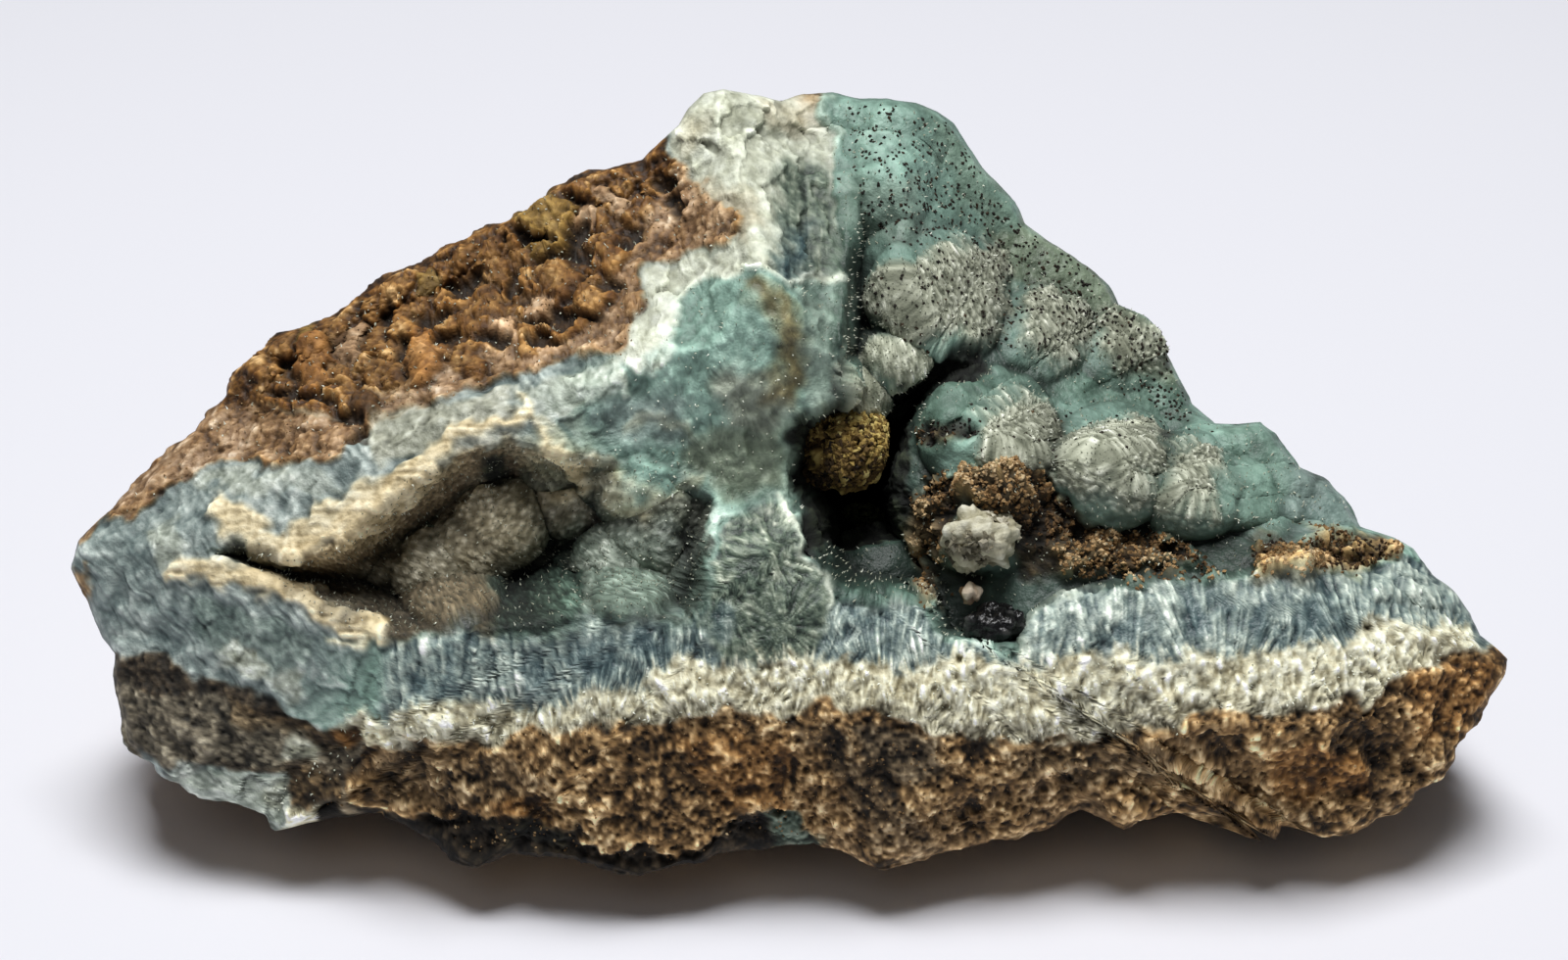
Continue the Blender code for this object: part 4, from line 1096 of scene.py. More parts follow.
# %% Push out the bumps


def smeared(values, cells):
    """Averages over a square of grid cells, by running sums down and then across."""
    for axis in (0, 1):
        pad = [(cells + 1, cells) if a == axis else (0, 0) for a in (0, 1)]
        total = np.cumsum(np.pad(values, pad, mode="edge"), axis=axis)
        first = np.take(total, range(values.shape[axis]), axis=axis)
        last = np.take(total, range(2 * cells + 1, 2 * cells + 1 + values.shape[axis]), axis=axis)
        values = (last - first) / (2 * cells + 1)
    return values


def pushed(points, heights_mm, inside_mm):
    """Points moved along their normals by heights that fade out at the rim, and kept above the ground."""
    fade = step_up(inside_mm, 0.0, 1.1)
    moved = points + grid_normals(points) * (heights_mm * fade * MM)[..., None]
    moved[..., 2] = np.maximum(moved[..., 2], 0.0)
    return moved


LIT_WALL = [
    (296, 594), (306, 560), (345, 534), (396, 504), (430, 474), (466, 456), (524, 438), (604, 455),
    (612, 492), (560, 504), (530, 484), (484, 502), (444, 532), (402, 568), (352, 600),
]
# painted shade: the hollows are darkened, least in the middles of the swells and hardly on the lit wall
in_hollows = np.maximum(in_left_hollow, in_right) * (1 - in_cavity) * (1 - 0.9 * face.patch(LIT_WALL, 10))
face.tint *= mix(1.0, 0.66 + 0.4 * swell_share, in_hollows)[..., None]
crust_share = sum(weight * face.patch(line, 5) for line, weight in CRUSTS)
face.relief += swell * in_hollows
face.relief += np.clip(crust_share, 0, 1) * (0.5 + 1.9 * (face.medium - 0.5) + 1.3 * (face.fine - 0.5))
step_cells = 2
whole_height = near + face.relief
# painted shade: points below the average of their surroundings are darkened, for grains and for whole hollows
grain_drop = smeared(face.relief, 2 * step_cells) - face.relief
hollow_drop = smeared(whole_height, 7 * step_cells) - whole_height
painted_low_shade = np.clip(1 - 0.75 * grain_drop, 0.5, 1.3) * np.clip(1 - 0.16 * hollow_drop, 0.45, 1.12)
face.tint = np.clip(face.tint * painted_low_shade[..., None], 0, 1)
face_shape = pushed(face_points, face.relief, depth_mm)
face_normals = grid_normals(face_shape)
print("bumps from", face.relief.min().round(2), "to", face.relief.max().round(2), "mm")

# %% [markdown]
# ## The far side
# The photographed side doesn't show the back, so it is ordinary broken rock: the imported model's own
# flat fracture planes, roughened. The same bands run through it, as a vein's bands must. Near the rim
# those planes come so close to the near side that the stone would end in a thin blade, so a least
# thickness keeps a rounded edge there, a little thicker than the model's.

# %% Far side
FAR_CUTS = [
    (0, 22, (0, 0.041, -0.016)), (34, 16, (0.034, 0.031, -0.016)), (-38, 20, (-0.034, 0.029, -0.016)),
    (68, 12, (0.056, 0.010, -0.016)), (-70, 14, (-0.057, 0.006, -0.014)), (12, 54, (0.006, 0.030, 0.018)),
    (-28, 46, (-0.024, 0.026, 0.009)), (44, 42, (0.028, 0.024, 0.006)), (0, -24, (0, 0.040, -0.024)),
    (40, -20, (0.040, 0.024, -0.024)), (-45, -20, (-0.042, 0.020, -0.024)),
    (180, -66, (0, -0.003, -0.0318)), (90, -76, (0.034, 0.004, -0.0318)),
    (-90, -74, (-0.034, 0.004, -0.0318)),
]
LEAST_THICKNESS_MM = 4.5
EDGE_ROUNDING_MM = 3.0
NO_CUT_MM = -200.0


def far_heights(x, y, rim, depth_mm):
    """Heights of the far side: the first of the far cuts and the ground that a sight line leaves by."""
    sight = sight_line(x, y)
    height = rim - rounding(depth_mm, BACK_ROUNDING_MM) * BACK_STEEPNESS
    for azimuth, elevation, offset in FAR_CUTS:
        turn, lift = math.radians(azimuth), math.radians(elevation)
        normal = np.array([math.sin(turn) * math.cos(lift), math.cos(turn) * math.cos(lift), math.sin(lift)])
        rate = sight @ normal
        leaves = (REFERENCE_POINT + np.array(offset) - eye) @ normal / np.where(rate > 0.05, rate, 1.0)
        height = smooth_max(height, np.where(rate > 0.05, (eye_distance - leaves) / MM, NO_CUT_MM), 1.2)
    ground = (eye_distance + eye[2] / sight[..., 2]) / MM
    return smooth_max(height, ground, 1.6)


far = far_heights(view_x, view_y, rim, depth_mm)
edge_share = rounding(np.minimum(depth_mm, EDGE_ROUNDING_MM), EDGE_ROUNDING_MM) / EDGE_ROUNDING_MM
thickness_mm = LEAST_THICKNESS_MM * edge_share
far = np.where(on_rim, rim, np.minimum(far, near - thickness_mm))

every = 2
back_rows = np.arange(0, FACE_CELLS[1] + 1, every)
back_columns = np.arange(0, FACE_CELLS[0] + 1, every)
picked = np.ix_(back_rows, back_columns)
back_points = place(view_x[picked], view_y[picked], far[picked])
back = Skin(view_x[picked], view_y[picked], back_points, 300)
back_level, back_bumps = crumbs(back)
back_plate, back_plate_bumps = plates(back, 341)
level_mm = back.spot[..., 2] + 3.2 * (back.coarse - 0.5) + 1.2 * (back.fine - 0.5) + 0.03 * back.spot[..., 0]
stripe = noise(back.spot * np.array([1.6, 1.6, 0.16]), 351)
stripe_level = contrast(0.5 * stripe + 0.25 * back.grit + 0.25 * back.fine, 2.0)
back.lay(1, tone(back_level, "rock"), back_bumps, 0.9)
above_rock = step_up(level_mm, 13.5, 14.5)
back.lay(above_rock, tone(stripe_level, "white"), 0.7 * back_plate_bumps + 0.6 * (stripe - 0.5), 0.6)
blue_bumps = 0.9 * (stripe - 0.5) + 0.4 * back_bumps
back.lay(step_up(level_mm, 17.2, 18.2), tone(stripe_level, "blue"), blue_bumps, 0.5)
massive = contrast(0.5 * back_plate + 0.3 * back.medium + 0.2 * back.grit, 1.5)
above_blue = step_up(level_mm, 23.0, 25.5)
back.lay(above_blue, tone(massive, "teal"), 0.9 * back_plate_bumps, 0.55)
pale_share = step_up(back.medium + 0.5 * back.coarse, 0.75, 1.0) * above_blue
back.lay(0.8 * pale_share, tone(massive, "plates"))
flank = step_up(-back.spot[..., 0] - 0.3 * (level_mm - 24), 8.0, 14.0) * step_up(level_mm, 22.0, 25.0)
back.lay(flank, tone(contrast(back_level, 1.2), "druse"), back_bumps, 0.8)
iron = step_up(back.coarse, 0.56, 0.7) * above_blue
back.lay(0.7 * iron, tone(back_level, "stain"), back_bumps, 0.9)
# painted shade: low places of the far side are darkened
back_drop = smeared(back.relief, step_cells) - back.relief
back.tint = np.clip(back.tint * np.clip(1 - 0.8 * back_drop, 0.5, 1.25)[..., None], 0, 1)
back_shape = pushed(back_points, -1.2 * back.relief, depth_mm[picked])
print("far side has", back.x.size, "points")

# %% [markdown]
# ## The finish, as nodes
# One finish serves every piece: colour and dullness come from the painted points, and finer grain
# than the points can hold comes from two noises in the nodes. A small class lets the sums of the
# nodes be written as ordinary Python sums.

# %% Shader sums and the stone's finish


class Number:
    """A shader socket that Python can add to and multiply. Each sum or product places one Math node."""

    def __init__(self, finish, socket):
        self.finish, self.socket = finish, socket

    def sum(self, operation, first, second):
        return self.finish.node("ShaderNodeMath", {"operation": operation}, {0: first, 1: second})

    def __add__(self, other):
        return self.sum("ADD", self, other)

    def __radd__(self, other):
        return self.sum("ADD", other, self)

    def __mul__(self, other):
        return self.sum("MULTIPLY", self, other)

    def __rmul__(self, other):
        return self.sum("MULTIPLY", other, self)


class Finish:
    """A material: its nodes are placed by one method, settings first and then inputs as values or links."""

    def __init__(self, name):
        self.material = bpy.data.materials.new(name)
        self.material.use_nodes = True
        self.tree = self.material.node_tree
        self.shader = self.tree.nodes["Principled BSDF"]

    def join(self, value, socket):
        if isinstance(value, Number):
            self.tree.links.new(value.socket, socket)
        else:
            socket.default_value = value

    def node(self, kind, settings=None, inputs=None, output=0):
        made = self.tree.nodes.new(kind)
        for name, value in (settings or {}).items():
            setattr(made, name, value)
        for name, value in (inputs or {}).items():
            self.join(value, made.inputs[name])
        return Number(self, made.outputs[output])

    def set(self, **inputs):
        for name, value in inputs.items():
            self.join(value, self.shader.inputs[name.replace("_", " ")])


def stone_finish():
    """Painted colour and dullness, with fine grain and bumps from noise on the object's own coordinates."""
    finish = Finish("weathered_stone")
    places = finish.node("ShaderNodeTexCoord", output="Object")
    paint = finish.node("ShaderNodeAttribute", {"attribute_name": "tint"}, output="Color")
    dull = finish.node("ShaderNodeAttribute", {"attribute_name": "dull"}, output="Fac")
    dust = finish.node("ShaderNodeTexNoise", inputs={"Vector": places, "Scale": 5200.0, "Detail": 2.0})
    grain = finish.node("ShaderNodeTexNoise", inputs={"Vector": places, "Scale": 2300.0, "Detail": 3.0})
    gain = 0.94 + 0.28 * (dust + grain)
    colour = finish.node(
        "ShaderNodeVectorMath",
        {"operation": "SCALE"},
        {"Vector": paint, "Scale": gain},
    )
    bump = finish.node(
        "ShaderNodeBump",
        inputs={"Strength": 0.55, "Distance": 0.00022, "Height": grain + 0.5 * dust},
    )
    finish.set(Base_Color=colour, Roughness=0.12 + 0.8 * dull, Normal=bump)
    finish.set(Specular_IOR_Level=0.4)
    return finish.material


STONE_FINISH = stone_finish()
print("finish has", len(STONE_FINISH.node_tree.nodes), "nodes")

# %% [markdown]
# ## Closed pieces from grids
# The near side is too fine for one mesh, so it is four tiles. A tile alone would be an open sheet, so
# each is closed behind by rings that shrink to a point halfway into the stone. Runs between rings are
# straight, so near the rim, where the stone is thin, the rings lie closer together. Only that hidden
# part is coarse. It stays flat-shaded, which keeps the tiles' own shading unbroken.

# %% Build the tiles and the back
RING_SHARES = (0.985, 0.8, 0.45)
made_pieces = []


def linear(colour):
    """The same colours as light, by the usual curve between screen values and light."""
    return np.where(colour <= 0.04045, colour / 12.92, ((colour + 0.055) / 1.055) ** 2.4)


def new_piece(name, points, quads, triangles, tint, dull, smooth=None, normals=None):
    """A mesh object from arrays, painted by point, riding on the stone."""
    mesh = bpy.data.meshes.new(name)
    mesh.vertices.add(len(points))
    mesh.vertices.foreach_set("co", np.ascontiguousarray(points, np.float32).ravel())
    corners = np.concatenate([np.ravel(quads), np.ravel(triangles)]).astype(np.int32)
    starts = np.concatenate([4 * np.arange(len(quads)), 4 * len(quads) + 3 * np.arange(len(triangles))])
    mesh.loops.add(len(corners))
    mesh.loops.foreach_set("vertex_index", corners)
    mesh.polygons.add(len(starts))
    mesh.polygons.foreach_set("loop_start", starts.astype(np.int32))
    is_smooth = np.ones(len(starts), bool) if smooth is None else smooth
    mesh.update(calc_edges=True)
    mesh.polygons.foreach_set("use_smooth", is_smooth)
    if normals is not None:
        mesh.normals_split_custom_set_from_vertices(normals)
    colours = np.concatenate([linear(tint), np.ones((len(points), 1))], -1)
    tint_data = mesh.attributes.new("tint", "FLOAT_COLOR", "POINT").data
    tint_data.foreach_set("color", colours.astype(np.float32).ravel())
    dull_data = mesh.attributes.new("dull", "FLOAT", "POINT").data
    dull_data.foreach_set("value", dull.astype(np.float32).ravel())
    mesh.materials.append(STONE_FINISH)
    piece = bpy.data.objects.new(name, mesh)
    bpy.context.scene.collection.objects.link(piece)
    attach(piece, "root")
    made_pieces.append((name, 2 * len(quads) + len(triangles)))
    return piece


def between(values, rows, columns):
    """Values of a grid between its points, blended from the four round each place."""
    r = np.clip(np.floor(rows).astype(int), 0, values.shape[0] - 2)
    c = np.clip(np.floor(columns).astype(int), 0, values.shape[1] - 2)
    down, across = rows - r, columns - c
    upper = mix(values[r, c], values[r, c + 1], across)
    lower = mix(values[r + 1, c], values[r + 1, c + 1], across)
    return mix(upper, lower, down)


def border(rows, columns):
    """The row and column numbers of a grid's border, once round, down its first column first."""
    r, c = np.arange(rows), np.arange(columns)
    row = np.concatenate([r[:-1], np.full(columns - 1, rows - 1), r[:0:-1], np.zeros(columns - 1, int)])
    column = np.concatenate([np.zeros(rows - 1, int), c[:-1], np.full(rows - 1, columns - 1), c[:0:-1]])
    return row, column


def closed_grid(name, shape, normals, inner, tint, dull, outward=True):
    """A grid of points closed behind: its border is led inwards over an inner grid in rings, to one point."""
    rows, columns = shape.shape[:2]
    number = np.arange(rows * columns).reshape(rows, columns)
    quads = np.stack([number[:-1, :-1], number[1:, :-1], number[1:, 1:], number[:-1, 1:]], -1).reshape(-1, 4)
    edge_row, edge_column = border(rows, columns)
    middle_row, middle_column = (rows - 1) / 2, (columns - 1) / 2
    points, rings, ring_tints = [shape.reshape(-1, 3)], [number[edge_row, edge_column]], []
    for share in RING_SHARES:
        ring_rows = middle_row + (edge_row - middle_row) * share
        ring_columns = middle_column + (edge_column - middle_column) * share
        rings.append(sum(len(p) for p in points) + np.arange(len(edge_row)))
        points.append(between(inner, ring_rows, ring_columns))
        ring_tints.append(between(tint, ring_rows, ring_columns))
    tip = sum(len(p) for p in points)
    points.append(inner[rows // 2, columns // 2][None])
    walls = [
        np.stack([outer, inner_ring, np.roll(inner_ring, -1), np.roll(outer, -1)], -1)
        for outer, inner_ring in zip(rings, rings[1:])
    ]
    fan = np.stack([rings[-1], np.full(len(edge_row), tip), np.roll(rings[-1], -1)], -1)
    all_quads = np.concatenate([quads, *walls])
    if not outward:
        all_quads, fan = all_quads[:, ::-1], fan[:, ::-1]
    points = np.concatenate(points)
    extra = len(points) - rows * columns
    colours = np.concatenate([tint.reshape(-1, 3), *ring_tints, tint[rows // 2, columns // 2][None]])
    dullness = np.concatenate([dull.ravel(), np.full(extra, 0.9)])
    normals = np.concatenate([normals.reshape(-1, 3), np.tile((0.0, 1.0, 0.0), (extra, 1))])
    smooth = np.arange(len(all_quads) + len(fan)) < len(quads)
    return new_piece(name, points, all_quads, fan, colours, dullness, smooth, normals)


face_inner = place(view_x, view_y, mix(near, far, 0.45))
back_inner = place(view_x, view_y, mix(near, far, 0.55))[picked]
half_rows, half_columns = FACE_CELLS[1] // 2, FACE_CELLS[0] // 2
TILES = {
    "stone_face_upper_left": (slice(0, half_rows + 1), slice(0, half_columns + 1)),
    "stone_face_upper_right": (slice(0, half_rows + 1), slice(half_columns, None)),
    "stone_face_lower_left": (slice(half_rows, None), slice(0, half_columns + 1)),
    "stone_face_lower_right": (slice(half_rows, None), slice(half_columns, None)),
}
tiles = [
    closed_grid(name, face_shape[cut], face_normals[cut], face_inner[cut], face.tint[cut], face.dull[cut])
    for name, cut in TILES.items()
]
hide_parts(STONE)
back_normals = -grid_normals(back_shape)
closed_grid("stone_back", back_shape, back_normals, back_inner, back.tint, back.dull, outward=False)
print(made_pieces)

# %% [markdown]
# ## Lumps that stand free
# A few pieces lie on the relief rather than in it: a crumbly limonite knob, a tuft of white blades, a
# black manganese knob and some grains. Each is a ball of latitude and longitude lines, squashed to
# its size and pushed about by the same noises.

# %% Lumps
LUMP_CELLS = (64, 38)


def ball_middle(centre, thick_mm, top_mm):
    """The middle of a ball of that half thickness, whose front stands at a height at a view place."""
    return place(np.float64(centre[0]), np.float64(centre[1]), np.float64(top_mm - thick_mm))


def lump(name, centre, radii, thick_mm, top_mm, tone_name, style, seed):
    """A closed ball stretched to view radii and a thickness, with its surface pushed in and out by noise."""
    turns = np.linspace(0, 2 * math.pi, LUMP_CELLS[0] + 1)[:-1]
    rises = np.linspace(-math.pi / 2, math.pi / 2, LUMP_CELLS[1] + 1)
    around, up = np.meshgrid(turns, rises)
    ball = np.stack([np.cos(up) * np.cos(around), np.sin(up), -np.cos(up) * np.sin(around)], -1)
    ball[0], ball[-1] = (0, -1, 0), (0, 1, 0)
    radii_mm = np.array([radii[0] * mm_per_unit, radii[1] * mm_per_unit, thick_mm])
    spot = ball * radii_mm + seed * 13.0
    nearest, second, number, offset = scatter(spot / style["cell"], seed)
    slope = offset[..., 0] * np.sin(number * 50) + offset[..., 1] * np.cos(number * 31)
    gap = np.minimum(second - nearest, 0.35)
    rough = fractal(spot / 1.6, 3, seed + 1) - 0.5
    push = style["rough"] * rough + style["cells"] * (0.7 * slope + 1.2 * gap - 0.2)
    push = push + 0.5 * style["cells"] * (noise(spot / 0.45, seed + 4) - 0.5)
    if style.get("rays"):
        direction = np.arctan2(ball[..., 0], ball[..., 1]) * 7
        ray = noise(np.stack([direction, 2 * rough, up * 0], -1), seed + 2)
        push = push + style["rays"] * (ray - 0.5)
        number = 0.6 * ray + 0.4 * number
    local = ball * radii_mm + ball * push[..., None]
    points = ball_middle(centre, thick_mm, top_mm) + MM * (
        local[..., :1] * RIGHTWARD + local[..., 1:2] * UPWARD - local[..., 2:] * FORWARD
    )
    level = np.clip(0.15 + 0.5 * number + 1.1 * rough + 0.9 * (gap - 0.15), 0, 1)
    rows, columns = level.shape
    numbers = np.arange(rows * columns).reshape(rows, columns)
    right = np.roll(numbers, -1, axis=1)
    quads = np.stack([numbers[1:-2], right[1:-2], right[2:-1], numbers[2:-1]], -1).reshape(-1, 4)
    quads = quads - columns + 1
    low, high = 0, (rows - 2) * columns + 1
    first = np.arange(1, columns + 1)
    last = first + (rows - 3) * columns
    fans_of_poles = np.concatenate(
        [
            np.stack([np.full(columns, low), np.roll(first, -1), first], -1),
            np.stack([np.full(columns, high), last, np.roll(last, -1)], -1),
        ]
    )
    keep = np.concatenate([points[0, :1], points[1:-1].reshape(-1, 3), points[-1, :1]])
    levels = np.concatenate([level[0, :1], level[1:-1].ravel(), level[-1, :1]])
    dull = np.full(len(keep), style["dull"])
    return new_piece(name, keep, quads, fans_of_poles, tone(levels, tone_name), dull)


CRUMBLY = {"cell": 0.9, "rough": 1.8, "cells": 0.4, "dull": 0.9}
BLADED = {"cell": 1.2, "rough": 1.8, "cells": 0.35, "dull": 0.5, "rays": 0.25}
GLASSY = {"cell": 1.1, "rough": 0.8, "cells": 0.5, "dull": 0.12}
SMOOTH = {**GLASSY, "rough": 0.3, "cells": 0.1}
lump("limonite_knob", (861, 459), (42, 39), 3.4, -1, "limonite", CRUMBLY, 11)
lump("black_knob", (1016, 640), (32, 22), 2.2, 4.9, "black", GLASSY, 12)
lump("white_tuft", (999, 549), (38, 30), 2.8, 4.9, "grey white", BLADED, 13)
lump("pink_grain", (988, 606), (9, 8), 0.9, 3.0, "pink druse", GLASSY, 14)
lump("yellow_sliver", (929, 457), (5, 23), 0.6, -5.0, "yellow druse", SMOOTH, 15)
lump("green_scales", (880, 527), (19, 12), 1.2, -13.0, "moss", CRUMBLY, 16)
print(made_pieces[5:])

# %% [markdown]
# ## Fur, sparkle, specks and chips
# Fibres, crystal tips and dust grains are far too many to place one by one, and far too small to need
# a fine mesh. Each is a few triangles, all of one kind are joined in one piece, and where they grow is
# chosen by chance, weighted by how much of them the painted skin has at each place.

# %% Small things in numbers
# each shape is its points and its triangles
SPIKE = (
    np.array([(-1, -1, 0), (1, -1, 0), (1, 1, 0), (-1, 1, 0), (0, 0, 1)], float),
    np.array([(0, 1, 4), (1, 2, 4), (2, 3, 4), (3, 0, 4), (0, 2, 1), (0, 3, 2)]),
)
GRAIN = (
    np.array([(1, 0, 0), (-1, 0, 0), (0, 1, 0), (0, -1, 0), (0, 0, 1), (0, 0, -1)], float),
    np.array([(0, 2, 4), (2, 1, 4), (1, 3, 4), (3, 0, 4), (2, 0, 5), (1, 2, 5), (3, 1, 5), (0, 3, 5)]),
)
FEWER = 1
GROUND_GAP = 0.0002
cell_area = np.linalg.norm(
    np.cross(np.gradient(face_shape, axis=0), np.gradient(face_shape, axis=1)), axis=-1
)


def pick_places(weight, count, seed):
    """Row and column numbers of grid points chosen by chance, in proportion to a weight and to area."""
    chance = np.random.default_rng(seed)
    heap = np.cumsum(np.ravel(weight * cell_area))
    picks = np.searchsorted(heap, chance.uniform(0, heap[-1], count))
    return np.unravel_index(np.minimum(picks, heap.size - 1), weight.shape), chance


def strew(name, feet, directions, shape, size_mm, levels, tone_name, dullness, chance, sink):
    """Many copies of one tiny shape on given feet, each turned about its direction and sized by chance."""
    shape_points, shape_faces = shape
    total = len(feet)
    up = directions + chance.normal(0, 0.28, (total, 3))
    up /= np.linalg.norm(up, axis=-1, keepdims=True)
    side = np.cross(up, chance.normal(0, 1, (total, 3)))
    side /= np.linalg.norm(side, axis=-1, keepdims=True)
    third = np.cross(up, side)
    wide, deep, tall = (np.array(size_mm) * chance.uniform(0.55, 1.35, (total, 3))).T * MM
    x, y, z = shape_points.T
    local = (
        (x * wide[:, None])[..., None] * side[:, None]
        + (y * deep[:, None])[..., None] * third[:, None]
        + ((z - sink) * tall[:, None])[..., None] * up[:, None]
    )
    points = feet[:, None] + local
    points[..., 2] = np.maximum(points[..., 2], GROUND_GAP)
    faces = shape_faces[None] + (np.arange(total) * len(shape_points))[:, None, None]
    level = np.clip(levels + chance.normal(0, 0.13, total), 0, 1)
    tint = np.repeat(tone(level, tone_name), len(shape_points), axis=0)
    dull = np.full(total * len(shape_points), dullness)
    smooth = np.zeros(total * len(shape_faces), bool)
    no_quads = np.zeros((0, 4), int)
    return new_piece(name, points.reshape(-1, 3), no_quads, faces.reshape(-1, 3), tint, dull, smooth)


def sprinkle(name, weight, count, shape, size_mm, lean, levels, tone_name, dullness, seed, sink=0.0):
    """Tiny shapes strewn on the skin where a weight says, standing on it or leaning."""
    where, chance = pick_places(weight, count // FEWER, seed)
    directions = face_normals[where] + lean[where]
    feet, level = face_shape[where], levels[where]
    return strew(name, feet, directions, shape, size_mm, level, tone_name, dullness, chance, sink)


def crumble(name, centre, radii, thick_mm, top_mm, count, size_mm, tone_name, dullness, seed):
    """Crumbs strewn over the front of a ball, so that a lump looks built of grains."""
    chance = np.random.default_rng(seed)
    ball = chance.normal(0, 1, (count // FEWER, 3))
    ball /= np.linalg.norm(ball, axis=-1, keepdims=True)
    ball[:, 2] = np.abs(ball[:, 2])
    spread_out = ball * np.array([radii[0] * mm_per_unit, radii[1] * mm_per_unit, thick_mm])
    spread_out *= (0.72 + 0.56 * noise(1.6 * ball + seed, seed))[:, None]
    turned = np.stack([RIGHTWARD, UPWARD, -FORWARD])
    # painted light: crumbs are lighter towards the top and the right of the ball
    levels = 0.5 + 0.26 * ball[:, 1] + 0.12 * ball[:, 0] + chance.normal(0, 0.12, len(ball))
    feet = ball_middle(centre, thick_mm, top_mm) + MM * spread_out @ turned
    return strew(name, feet, ball @ turned, GRAIN, size_mm, levels, tone_name, dullness, chance, 0)


radial = (face.x - growth_middle[..., 0])[..., None] * RIGHTWARD
radial = radial - (face.y - growth_middle[..., 1])[..., None] * UPWARD
radial /= np.linalg.norm(radial, axis=-1, keepdims=True) + 1e-9
no_lean = np.zeros_like(radial)
away_from_rim = step_up(depth_mm, 0.4, 1.2)
hollow_fur = in_left_hollow * np.isin(nearest_growth, WARM + COOL)
fur_weight = np.clip(broken_fur + 0.55 * hollow_fur, 0, 1) * away_from_rim * (1 - in_cavity)
# painted shade: fur spikes are darker towards each dome's edge and in the creases
sprinkle("crystal_fur", fur_weight, 4800, SPIKE, (0.05, 0.04, 0.22),
         0.9 * radial, (0.2 + 0.5 * fur_level) * (0.5 + 0.5 * painted_dome_light), "fur", 0.7, 21, 0.2)
sparkle_weight = (
    0.5 * in_left_hollow + 0.8 * in_right + 0.5 * in_middle + 0.7 * below_white + 0.35 * in_druse
)
sparkle_weight = np.clip(sparkle_weight, 0, 1) * away_from_rim * (1 - in_cavity) * (1 - below_foot)
sprinkle("crystal_tips", sparkle_weight, 4200, GRAIN, (0.08, 0.06, 0.26),
         no_lean, 0.45 + 0.5 * face.tint.mean(-1), "plates", 0.15, 22)
SPECK_PATCHES = [
    ([(870, 100), (960, 110), (1000, 180), (1040, 230), (1000, 250), (900, 240), (862, 180)], 0.5),
    ([(1000, 200), (1048, 228), (1112, 273), (1141, 311), (1190, 360), (1216, 420), (1196, 440),
      (1150, 400), (1090, 330), (1040, 290), (1000, 250)], 1.0),
    ([(900, 160), (990, 180), (1010, 250), (900, 250)], 0.35),
    ([(985, 400), (1240, 440), (1240, 480), (985, 470)], 0.1),
    ([(884, 290), (1010, 250), (1040, 300), (1100, 300), (1110, 380), (1030, 370), (930, 350)], 0.4),
]
speck_weight = sum(weight * face.patch(line, 10) for line, weight in SPECK_PATCHES)
speck_weight = np.clip(speck_weight, 0, 1) * in_right * away_from_rim
sprinkle("dark_specks", speck_weight, 1000, GRAIN, (0.19, 0.19, 0.14),
         no_lean, 0.15 + 0 * near, "stain", 0.8, 23)
chip_weight = (below_foot + 0.5 * in_druse) * away_from_rim
sprinkle("grain_chips", chip_weight, 3000, GRAIN, (0.15, 0.11, 0.1),
         no_lean, 0.3 + 0.5 * crumb_level, "rock", 0.85, 24, 0.2)
crust_level = np.clip(0.02 + 0.95 * face.medium + 0.4 * (face.fine - 0.5), 0, 1)
sprinkle("crust_crumbs", crust_share * away_from_rim, 2600, GRAIN, (0.26, 0.2, 0.22),
         no_lean, crust_level, "crust", 0.9, 25, 0.1)
crumble("knob_crumbs", (861, 459), (43, 40), 3.6, -0.9, 900, (0.4, 0.3, 0.3), "limonite", 0.9, 26)
crumble("tuft_blades", (999, 549), (34, 26), 2.7, 4.8, 200, (0.5, 0.4, 0.3), "warm fur", 0.5, 27)
crumble("scale_crumbs", (880, 527), (20, 13), 1.3, -13.0, 120, (0.34, 0.3, 0.2), "moss", 0.8, 28)
print("triangles in all:", sum(count for _, count in made_pieces))

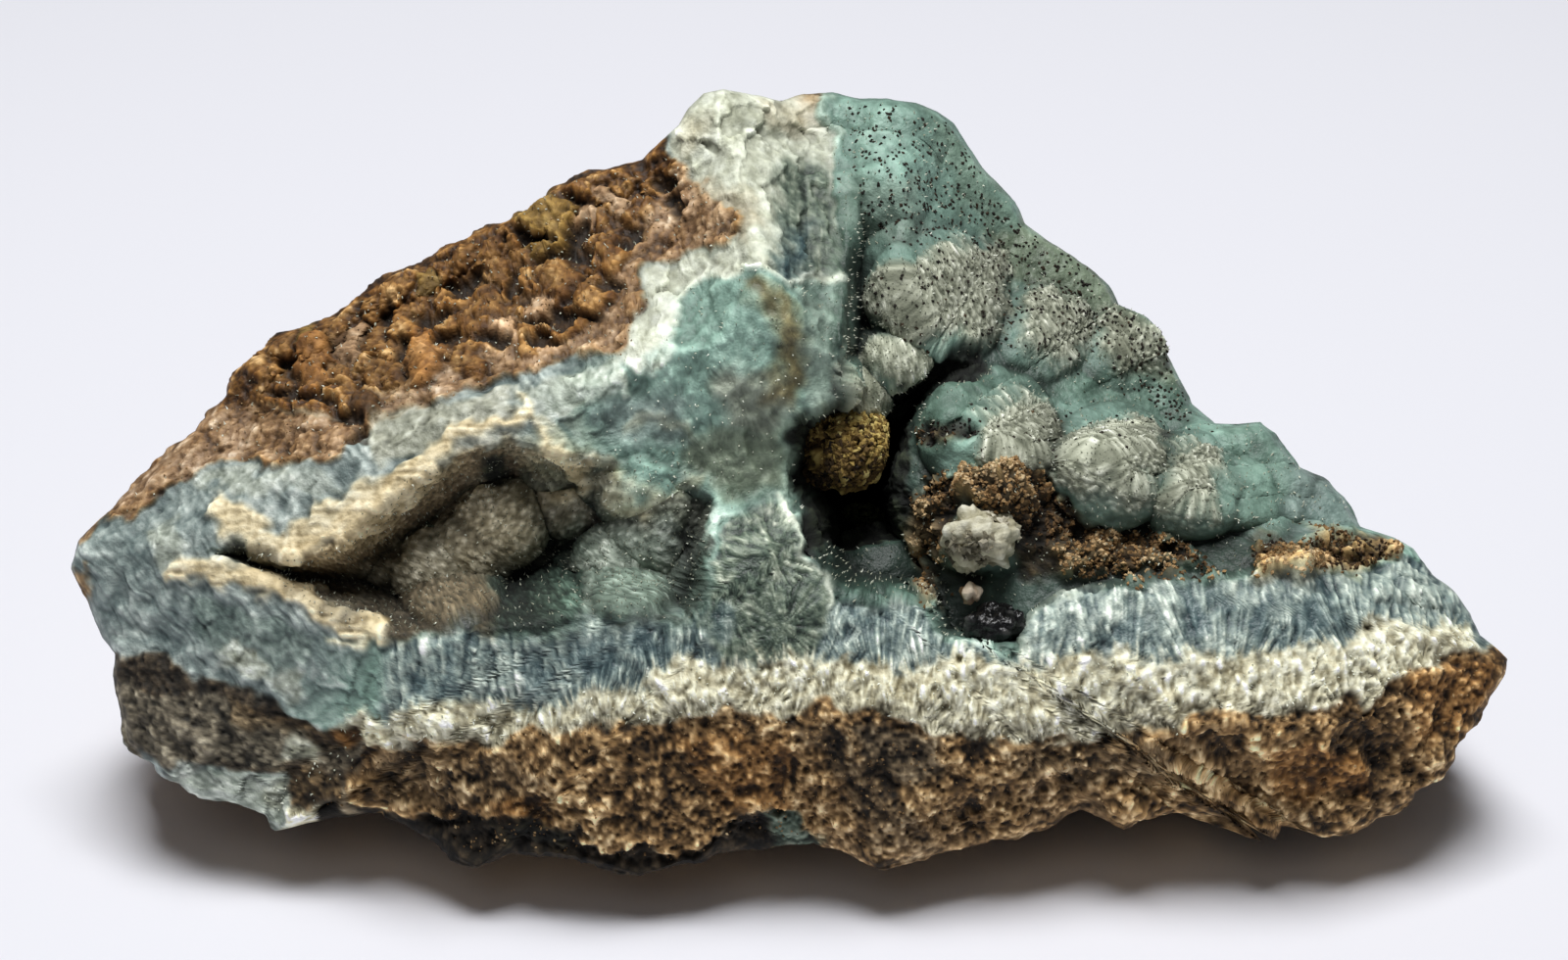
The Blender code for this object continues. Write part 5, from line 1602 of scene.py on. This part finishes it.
# %% [markdown]
# ## Floor, light and camera
# The stone lies on a plain pale floor under a broad soft lamp, with a weaker one at the front left, and
# the camera stands at the eye point that the whole relief was read from.

# %% Stage, lamps and camera
FLOOR_TONE = (0.80, 0.805, 0.86, 1.0)
floor_mesh = bpy.data.meshes.new("floor")
floor_mesh.from_pydata([(-3, -3, 0), (3, -3, 0), (3, 3, 0), (-3, 3, 0)], [], [(0, 1, 2, 3)])
floor = bpy.data.objects.new("floor", floor_mesh)
bpy.context.scene.collection.objects.link(floor)
floor_finish = Finish("pale_floor")
floor_finish.set(Base_Color=FLOOR_TONE, Roughness=0.7)
floor_mesh.materials.append(floor_finish.material)


def lamp(name, where, towards, size, power):
    """A square area lamp that faces a point."""
    data = bpy.data.lights.new(name, "AREA")
    data.size, data.energy = size, power
    made = bpy.data.objects.new(name, data)
    bpy.context.scene.collection.objects.link(made)
    made.location = where
    direction = np.array(towards) - np.array(where)
    made.rotation_euler = (
        math.atan2(math.hypot(direction[0], direction[1]), -direction[2]),
        0.0,
        math.atan2(direction[1], direction[0]) - math.pi / 2,
    )


lamp("overhead", (-0.02, 0.03, 0.82), (0, 0, 0.02), 0.40, 7.4)
lamp("front", (-0.30, -0.70, 0.95), (0, 0, 0.02), 0.6, 0.4)
world = bpy.data.worlds.new("studio")
bpy.context.scene.world = world
world.use_nodes = True
world.node_tree.nodes["Background"].inputs["Color"].default_value = (0.93, 0.95, 1.0, 1.0)
world.node_tree.nodes["Background"].inputs["Strength"].default_value = 0.07
bpy.context.scene.view_settings.view_transform = "Standard"

SENSOR_WIDTH_MM = 36
camera_data = bpy.data.cameras.new("camera")
camera_data.lens = SENSOR_WIDTH_MM * EYE_DISTANCE_IN_VIEW_UNITS / VIEW_WIDTH
camera_data.clip_start = 0.01
camera = bpy.data.objects.new("camera", camera_data)
bpy.context.scene.collection.objects.link(camera)
camera.location = eye
camera.rotation_euler = (math.pi / 2 - VIEW_PITCH, 0, 0)
bpy.context.scene.camera = camera
print("camera at", [round(v, 4) for v in camera.location], "with lens", round(camera_data.lens, 1), "mm")
